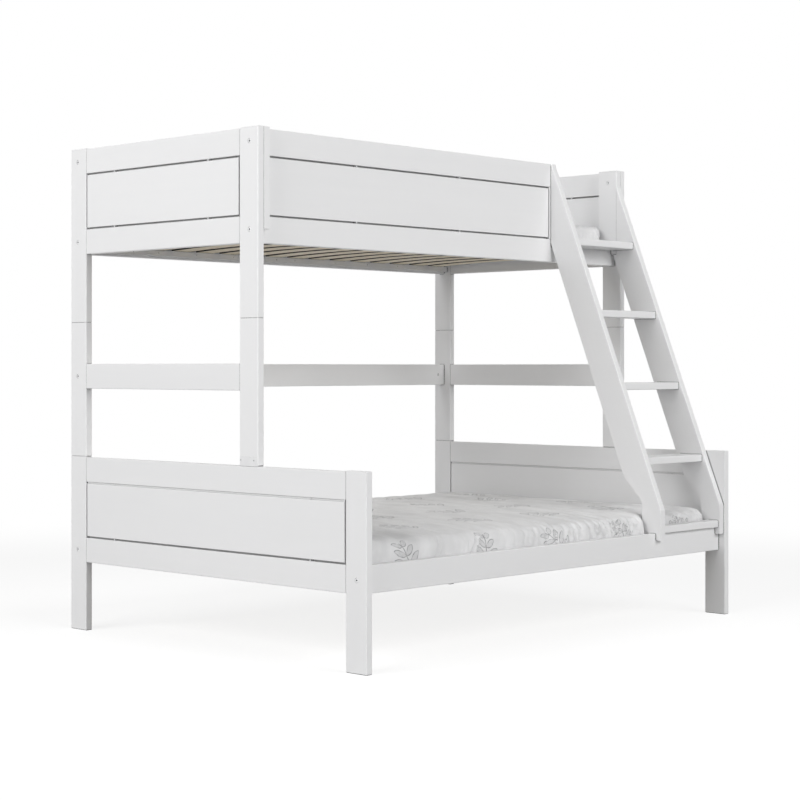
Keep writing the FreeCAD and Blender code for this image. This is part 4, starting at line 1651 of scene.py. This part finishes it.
    def fold(self, piece: Piece) -> None:
        """Press folds, puffs and foot hollows into the cover and keep it clear of its neighbours.

        Args:
            piece: The mattress form.
        """
        points, out = self.points(piece), self.outward(piece)
        rng = np.random.default_rng(self.seed)
        push = self.border_folds(points, out) + self.top_folds(points, out, rng)
        points = points + out * push[:, None]
        give = self.foot_rear + self.foot_give
        for foot in self.feet:
            away = np.abs(points[:, 0] - foot)
            if foot >= self.end_foot:
                away = np.maximum(foot - points[:, 0], 0.0)
            hollow = self.foot_rear + self.foot_room - self.low.y
            reach = self.low.y + hollow * smooth_step(*self.foot_width, away)
            squeeze = np.clip((points[:, 1] - self.low.y) / (give - self.low.y), 0.0, 1.0)
            inner = np.maximum(points[:, 1], reach + squeeze * (give - reach))
            points[:, 1] = np.where(points[:, 1] < give, inner, points[:, 1])
        points = self.clear_of_boards(self.kept_inside(points))
        self.set_points(piece, points)

    def clear_of_boards(self, points: np.ndarray) -> np.ndarray:
        """Press the corners in where boards stand against them.

        Args:
            points: The cover's points.

        Returns:
            The points with their corners pressed in.
        """
        for board in self.boards:
            low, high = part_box(board)
            side = math.copysign(1.0, low.x)
            face = min(abs(low.x), abs(high.x)) - self.board_gap
            depth = high.y - points[:, 1] if low.y < self.middle.y else points[:, 1] - low.y
            share = smooth_step(*self.board_range, depth)
            start, end = face - self.board_squeeze, self.high.x
            along = points[:, 0] * side
            squeezed = start + (along - start) * (face - start) / (end - start)
            along = np.where(along > start, along + (squeezed - along) * share, along)
            points[:, 0] = along * side
        return points

    def border_folds(self, points: np.ndarray, out: np.ndarray) -> np.ndarray:
        """Work out the border's creases and its row of puffs.

        Args:
            points: The cover's points.
            out: Its outward directions.

        Returns:
            How far each point moves outwards.
        """
        x, y, z = points.T
        rise = (z - self.low.z) / self.border
        standing = smooth_step(0.30, 0.75, np.hypot(out[:, 0], out[:, 1]))
        front = smooth_step(-0.2, -0.6, out[:, 1])
        push = np.zeros(len(points))
        for crease in self.creases:
            line = x - crease.place - crease.slant * (z - self.middle.z)
            press = np.exp(-((line / crease.width) ** 2)) * smooth_step(1.02, 0.80, rise)
            ridge = np.exp(-(((line - 2.0 * crease.width) / (1.4 * crease.width)) ** 2))
            push += front * standing * (0.4 * ridge - press) * crease.depth
        facing = np.abs(out[:, 1]) / np.maximum(np.abs(out[:, 0]) + np.abs(out[:, 1]), HAIR)
        along = x * facing + (y + 3.0) * (1.0 - facing)
        zone = smooth_step(0.08, 0.45, rise) * smooth_step(0.99, 0.80, out[:, 2])
        uneven = 0.65 + 0.35 * np.sin(along * 11.0 + self.seed)
        active = (smooth_step(*self.puffed, x) * uneven + 0.10) * (0.4 + 0.6 * front)
        drift = 0.6 * np.sin(along * 5.1 + self.seed)
        pillow = np.abs(np.sin(math.pi * (along / self.puff_pitch + drift)))
        swell = 0.3 * pillow - np.exp(-((pillow / 0.38) ** 2))
        return push + zone * active * swell * self.puff

    def top_folds(
            self, points: np.ndarray, out: np.ndarray, rng: np.random.Generator) -> np.ndarray:
        """Work out the soft waves and the fine wrinkles of the top.

        Args:
            points: The cover's points.
            out: Its outward directions.
            rng: The source of the folds' places.

        Returns:
            How far each point moves outwards.
        """
        x, y = points[:, 0], points[:, 1]
        top, low, high = self.top, self.low, self.high
        push = np.zeros(len(points))
        calm = smooth_step(*top.calm, high.y - y)
        for _ in range(top.waves):
            turn, size = rng.normal(*top.wave_turn), rng.uniform(*top.wave_size)
            run = (x * math.sin(turn) + y * math.cos(turn)) * math.tau / size
            wave = calm * np.sin(run + rng.uniform(0.0, math.tau))
            along, across = rng.uniform(2.0, 6.0), rng.uniform(3.0, 8.0)
            patch = 0.5 + 0.5 * np.sin(x * along + y * across + rng.uniform(0.0, math.tau))
            push += wave * patch * top.wave_height
        for _ in range(top.wrinkles):
            dx, dy = x - rng.uniform(low.x, high.x), y - rng.uniform(low.y, high.y)
            turn = rng.normal(*top.wrinkle_turn)
            length, width = rng.uniform(*top.wrinkle_length), rng.uniform(*top.wrinkle_width)
            run = dx * math.cos(turn) + dy * math.sin(turn)
            off = dy * math.cos(turn) - dx * math.sin(turn) + top.wrinkle_sway * np.sin(run * 13.0)
            ridge = np.exp(-(((off - 1.8 * width) / (1.5 * width)) ** 2))
            line = 0.6 * ridge - np.exp(-((off / width) ** 2))
            push += calm * np.exp(-((run / length) ** 4)) * line * top.wrinkle_depth
        return push * smooth_step(*top.level, out[:, 2])

    def kept_inside(self, points: np.ndarray) -> np.ndarray:
        """Pull back what stands out past the room the mattress has.

        Args:
            points: The cover's points.

        Returns:
            The points inside that room.
        """
        for axis in (0, 1):
            low, high = self.low[axis] - self.slack, self.high[axis] + self.slack
            points[:, axis] = np.clip(points[:, axis], low, high)
        points[:, 2] = np.clip(points[:, 2], self.low.z, self.high.z + self.headroom)
        return points

    def map_cover(self, piece: Piece) -> None:
        """Lay the cover cloth's own coordinates over the top and down the border.

        Args:
            piece: The mattress form.
        """
        points, out = self.points(piece), self.outward(piece)
        drop = np.maximum(self.high.z - self.edge_drop - points[:, 2], 0.0)
        flat = out[:, :2] ** 2
        share = flat / np.maximum(flat.sum(axis=1, keepdims=True), TINY)
        share *= smooth_step(-0.95, -0.6, out[:, 2])[:, None]
        cover = points[:, :2] + np.sign(out[:, :2]) * share * drop[:, None]
        cover = cover + (self.print_shift, -self.low.y)
        corners = np.empty(len(piece.data.loops), np.int32)
        piece.data.loops.foreach_get("vertex_index", corners)
        layer = piece.data.uv_layers.new(name=KnitTicking.map_name)
        layer.data.foreach_set("uv", cover[corners].astype(np.float32).ravel())

    def seam(self, piece: Piece, finishes: Finishes) -> Piece:
        """Sew a piped seam round the border.

        Args:
            piece: The finished mattress.
            finishes: The bed's finishes.

        Returns:
            The seam piece.
        """
        graph = bpy.context.evaluated_depsgraph_get()
        skin = BVHTree.FromObject(piece, graph)
        path: list[Vector] = []
        height = self.low.z + self.seam_rise
        half = (self.high - self.low) / 2
        for step in range(self.seam_steps):
            angle = math.tau * step / self.seam_steps
            way = Vector((half.x * math.cos(angle), half.y * math.sin(angle), 0.0))
            stretch = max(abs(math.cos(angle)), abs(math.sin(angle)))
            aim = Vector((self.middle.x, self.middle.y, height)) + way / stretch
            hub = Vector((aim.x * 0.9, self.middle.y + (aim.y - self.middle.y) * 0.85, height))
            start = aim + (aim - hub).normalized() * self.seam_start
            hit, _, _, _ = skin.ray_cast(start, (hub - start).normalized())
            if hit is not None:
                path.append(hit)
        return SeamLine(f"{self.node}_seam", path).build(self.body, finishes)


@dataclass
class SeamLine:
    """A piped seam with a row of stitches under it, round a mattress border."""

    name: str
    path: list[Vector]
    piping: float = 0.0022
    piping_sides: int = 8
    piping_step: float = 0.012
    stitch: float = 0.0045
    thread: float = 0.0011
    pitch: float = 0.0085
    drop: float = 0.006

    def tree(self) -> Tree:
        """Lay out the tree that sweeps the piping and spreads the stitches.

        Returns:
            The geometry tree.
        """
        draft, given = start_tree("seam_line", {
            "Piping Radius": "NodeSocketFloat",
            "Stitch Length": "NodeSocketFloat",
            "Stitch Pitch": "NodeSocketFloat",
            "Stitch Drop": "NodeSocketVector",
            "Cloth": "NodeSocketMaterial",
            "Thread": "NodeSocketMaterial",
        })
        get = given.outputs
        line = draft.add("GeometryNodeMeshToCurve", {"Mesh": get["Geometry"]})
        even = draft.add("GeometryNodeResampleCurve", {
            "Curve": line.outputs[0], "Length": self.piping_step}, mode="LENGTH")
        ring = draft.add("GeometryNodeCurvePrimitiveCircle", {
            "Resolution": self.piping_sides, "Radius": get["Piping Radius"]})
        piping = draft.add("GeometryNodeCurveToMesh", {
            "Curve": even.outputs[0], "Profile Curve": ring.outputs[0]})
        clothed = draft.add("GeometryNodeSetMaterial", {
            "Geometry": piping.outputs[0], "Material": get["Cloth"]})
        lowered = draft.add("GeometryNodeSetPosition", {
            "Geometry": line.outputs[0], "Offset": get["Stitch Drop"]})
        spaced = draft.add("GeometryNodeResampleCurve", {
            "Curve": lowered.outputs[0], "Length": get["Stitch Pitch"]}, mode="LENGTH")
        tangent = draft.add("GeometryNodeInputTangent")
        aimed = draft.add("FunctionNodeAlignRotationToVector", {
            "Vector": tangent.outputs[0]}, axis="X")
        bead = draft.add("GeometryNodeMeshUVSphere", {"Segments": 6, "Rings": 4, "Radius": 0.5})
        size = draft.add("ShaderNodeCombineXYZ", {
            0: get["Stitch Length"], 1: self.thread, 2: self.thread})
        sewn = draft.add("GeometryNodeInstanceOnPoints", {
            "Points": spaced.outputs[0], "Instance": bead.outputs[0],
            "Rotation": aimed.outputs[0], "Scale": size.outputs[0]})
        threaded = draft.add("GeometryNodeSetMaterial", {
            "Geometry": sewn.outputs[0], "Material": get["Thread"]})
        both = draft.add("GeometryNodeJoinGeometry")
        for part in (clothed, threaded):
            draft.feed(both.inputs[0], part.outputs[0])
        whole = draft.add("GeometryNodeRealizeInstances", {"Geometry": both.outputs[0]})
        draft.add("NodeGroupOutput", {0: whole.outputs[0]})
        return draft.tree

    def build(self, body: str, finishes: Finishes) -> Piece:
        """Make the seam as one piece.

        Args:
            body: The body that it rides on.
            finishes: The bed's finishes.

        Returns:
            The finished piece.
        """
        count = len(self.path)
        mesh = bpy.data.meshes.new(self.name)
        mesh.from_pydata(self.path, [(step, (step + 1) % count) for step in range(count)], [])
        piece = new_piece(self.name, mesh)
        run_tree(piece, self.tree(), {
            "Piping Radius": self.piping,
            "Stitch Length": self.stitch,
            "Stitch Pitch": self.pitch,
            "Stitch Drop": (0.0, 0.0, -self.drop),
            "Cloth": finishes.ticking,
            "Thread": finishes.thread,
        })
        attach(piece, body)
        return piece


@dataclass(frozen=True)
class SoftLamp:
    """A large soft studio lamp."""

    name: str
    place: Point
    target: Point
    size: Span
    power: float

    def build(self) -> Piece:
        """Hang the lamp and aim it.

        Returns:
            The lamp's object.
        """
        lamp = bpy.data.lights.new(self.name, "AREA")
        lamp.shape = "RECTANGLE"
        lamp.size, lamp.size_y = self.size
        lamp.energy = self.power
        holder = bpy.data.objects.new(self.name, lamp)
        holder.location = self.place
        holder.visible_camera = False
        way = Vector(self.target) - Vector(self.place)
        holder.rotation_euler = way.to_track_quat("-Z", "Y").to_euler()
        bpy.context.scene.collection.objects.link(holder)
        return holder


@dataclass(frozen=True)
class ViewPoint:
    """Where the camera stands, level and as the photograph was taken, and its lens."""

    place: Point = (-5.2558, -4.7843, 0.9726)
    heading: float = -45.28
    sensor: float = 36.0
    lens: float = 83.33
    shift: Span = (0.0859, -0.0411)
    reach: float = 200.0

    def build(self) -> Piece:
        """Stand the camera there.

        Returns:
            The camera's object.
        """
        lens = bpy.data.cameras.new("camera")
        lens.sensor_width = self.sensor
        lens.lens = self.lens
        lens.shift_x, lens.shift_y = self.shift
        lens.clip_end = self.reach
        holder = bpy.data.objects.new("camera", lens)
        holder.location = self.place
        holder.rotation_euler = (math.pi / 2, 0.0, math.radians(self.heading))
        bpy.context.scene.collection.objects.link(holder)
        bpy.context.scene.camera = holder
        return holder


@dataclass
class Studio:
    """White floor, soft light and the camera."""

    view: ViewPoint = ViewPoint()
    ambient: float = 0.05
    floor_half: float = 60.0
    floor_cells: int = 8
    floor_bounce: Colour = (0.50, 0.50, 0.50)
    floor_shadow: float = 0.28
    floor_glow: float = 0.825
    shadow_reach: Span = (2.6, 5.0)
    lamps: tuple[SoftLamp, ...] = (
        SoftLamp("lamp_left_low", (-9.5, 0.2, 0.9), (0.0, 0.0, 0.9), (8.0, 1.6), 75.0),
        SoftLamp("lamp_left", (-9.5, 0.2, 2.9), (0.0, 0.0, 2.9), (8.0, 2.4), 185.0),
        SoftLamp("lamp_left_high", (-9.5, 0.2, 6.2), (0.0, 0.0, 6.2), (8.0, 4.0), 585.0),
        SoftLamp("lamp_front", (0.2, -9.5, 2.9), (0.0, 0.0, 2.9), (8.0, 2.4), 185.0),
        SoftLamp("lamp_front_high", (0.2, -9.5, 6.2), (0.0, 0.0, 6.2), (8.0, 4.0), 610.0),
        SoftLamp("lamp_rear", (0.2, 9.5, 3.5), (0.0, 0.0, 1.0), (8.0, 5.0), 80.0),
        SoftLamp("lamp_right", (9.5, 0.2, 3.5), (0.0, 0.0, 1.0), (8.0, 5.0), 80.0),
    )

    def build(self) -> None:
        """Set up the floor, the surroundings, the lamps and the camera."""
        self.floor()
        self.surroundings()
        for lamp in self.lamps:
            lamp.build()
        self.view.build()
        bpy.context.scene.view_settings.view_transform = "Standard"

    def floor(self) -> Piece:
        """Lay a pale floor that shows white where no shadow falls and far from the bed.

        Returns:
            The floor's object.
        """
        material = bpy.data.materials.new("studio_floor")
        material.use_nodes = True
        draft = TreeDraft(material.node_tree)
        plain = draft.add("ShaderNodeBsdfDiffuse", {"Color": (*self.floor_bounce, 1.0)})
        away = draft.add("ShaderNodeVectorMath", {0: draft.place()}, operation="LENGTH")
        near = draft.signal(away.outputs["Value"]).ramp(*self.shadow_reach, 1.0, 0.0)
        grey = draft.blend(near, (0.0, 0.0, 0.0), (self.floor_shadow,) * 3)
        caught = draft.add("ShaderNodeBsdfDiffuse", {"Color": grey})
        glow = draft.add("ShaderNodeEmission", {"Strength": 1.0 - near * (1.0 - self.floor_glow)})
        white = draft.add("ShaderNodeAddShader", {0: caught.outputs[0], 1: glow.outputs[0]})
        both = draft.add("ShaderNodeMixShader", {
            0: draft.seen(), 1: plain.outputs[0], 2: white.outputs[0]})
        draft.add("ShaderNodeOutputMaterial", {"Surface": both.outputs[0]})
        shape = bmesh.new()
        cells = self.floor_cells
        bmesh.ops.create_grid(shape, x_segments=cells, y_segments=cells, size=self.floor_half)
        mesh = bpy.data.meshes.new("studio_floor")
        shape.to_mesh(mesh)
        shape.free()
        mesh.materials.append(material)
        ground = new_piece("studio_floor", mesh)
        return ground

    def surroundings(self) -> None:
        """Surround the bed with even light that shows as white."""
        world = bpy.data.worlds.new("studio")
        world.use_nodes = True
        bpy.context.scene.world = world
        draft = TreeDraft(world.node_tree)
        even = draft.add("ShaderNodeBackground", {"Color": WHITE, "Strength": self.ambient})
        white = draft.add("ShaderNodeBackground", {"Color": WHITE, "Strength": 1.0})
        both = draft.add("ShaderNodeMixShader", {
            0: draft.seen(), 1: even.outputs[0], 2: white.outputs[0]})
        draft.add("ShaderNodeOutputWorld", {"Surface": both.outputs[0]})


def mattress_pair() -> tuple[Mattress, Mattress]:
    """Describe the two mattresses with the folds that their borders show.

    Returns:
        The lower and the upper mattress.
    """
    lower = Mattress("lower_mattress", "frame", (
        Crease(-0.62, 0.5, 0.0085),
        Crease(-0.43, 0.7, 0.0095),
        Crease(-0.10, 0.3, 0.0070),
        Crease(0.13, 0.1, 0.0075),
        Crease(0.30, -0.2, 0.0065),
        Crease(0.38, 0.1, 0.0060),
        Crease(0.47, 0.2, 0.0060),
        Crease(0.78, 0.1, 0.0050),
    ), corner=0.045, puffed=(-0.25, 0.10), feet=(0.5925, 0.992), seed=4)
    boards = tuple(
        f"corner_board_{row}_{side}" for row in ("front", "rear") for side in ("left", "right"))
    upper = Mattress("upper_mattress", "upper_mattress", (
        Crease(-0.70, 0.4, 0.0035, 0.011),
        Crease(-0.35, 0.5, 0.0045, 0.012),
        Crease(0.05, -0.3, 0.0035, 0.011),
        Crease(0.42, 0.2, 0.0040, 0.011),
        Crease(0.66, 0.3, 0.0035, 0.011),
        Crease(0.80, -0.1, 0.0040, 0.010),
    ), corner=0.032, puffed=(-1.2, -0.4), seed=9, print_shift=0.11, roll=0.024, puff=0.0045,
        boards=boards)
    return lower, upper


def slat_rows() -> list[SlatRow]:
    """Describe the slats of both decks from the solids that they stand for.

    Returns:
        The lower and the upper row.
    """
    rows = []
    for deck, seed in (("lower", 5), ("upper", 11)):
        low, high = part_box(f"{deck}_slats")
        rows.append(SlatRow(deck, tuple(low), tuple(high), seed))
    return rows


def main() -> None:
    """Build and dress the whole bed in its studio."""
    logging.basicConfig(level=logging.INFO, format="%(name)s: %(message)s")
    finishes = Finishes().prepare()
    count = PaintedFrame().dress(finishes, REPLACED)
    log.info("painted %d solids", count)
    pieces = [row.build(finishes) for row in slat_rows()]
    pieces += FrameFastenings().build(finishes)
    tongues = PanelTongues()
    pieces += [tongues.build(finishes), tongues.pegs(finishes)]
    for mattress in mattress_pair():
        pieces += mattress.build(finishes)
    for piece in pieces:
        log.info("%s: %d faces", piece.name, len(piece.data.polygons))
    Studio().build()


if __name__ == "__main__":
    main()
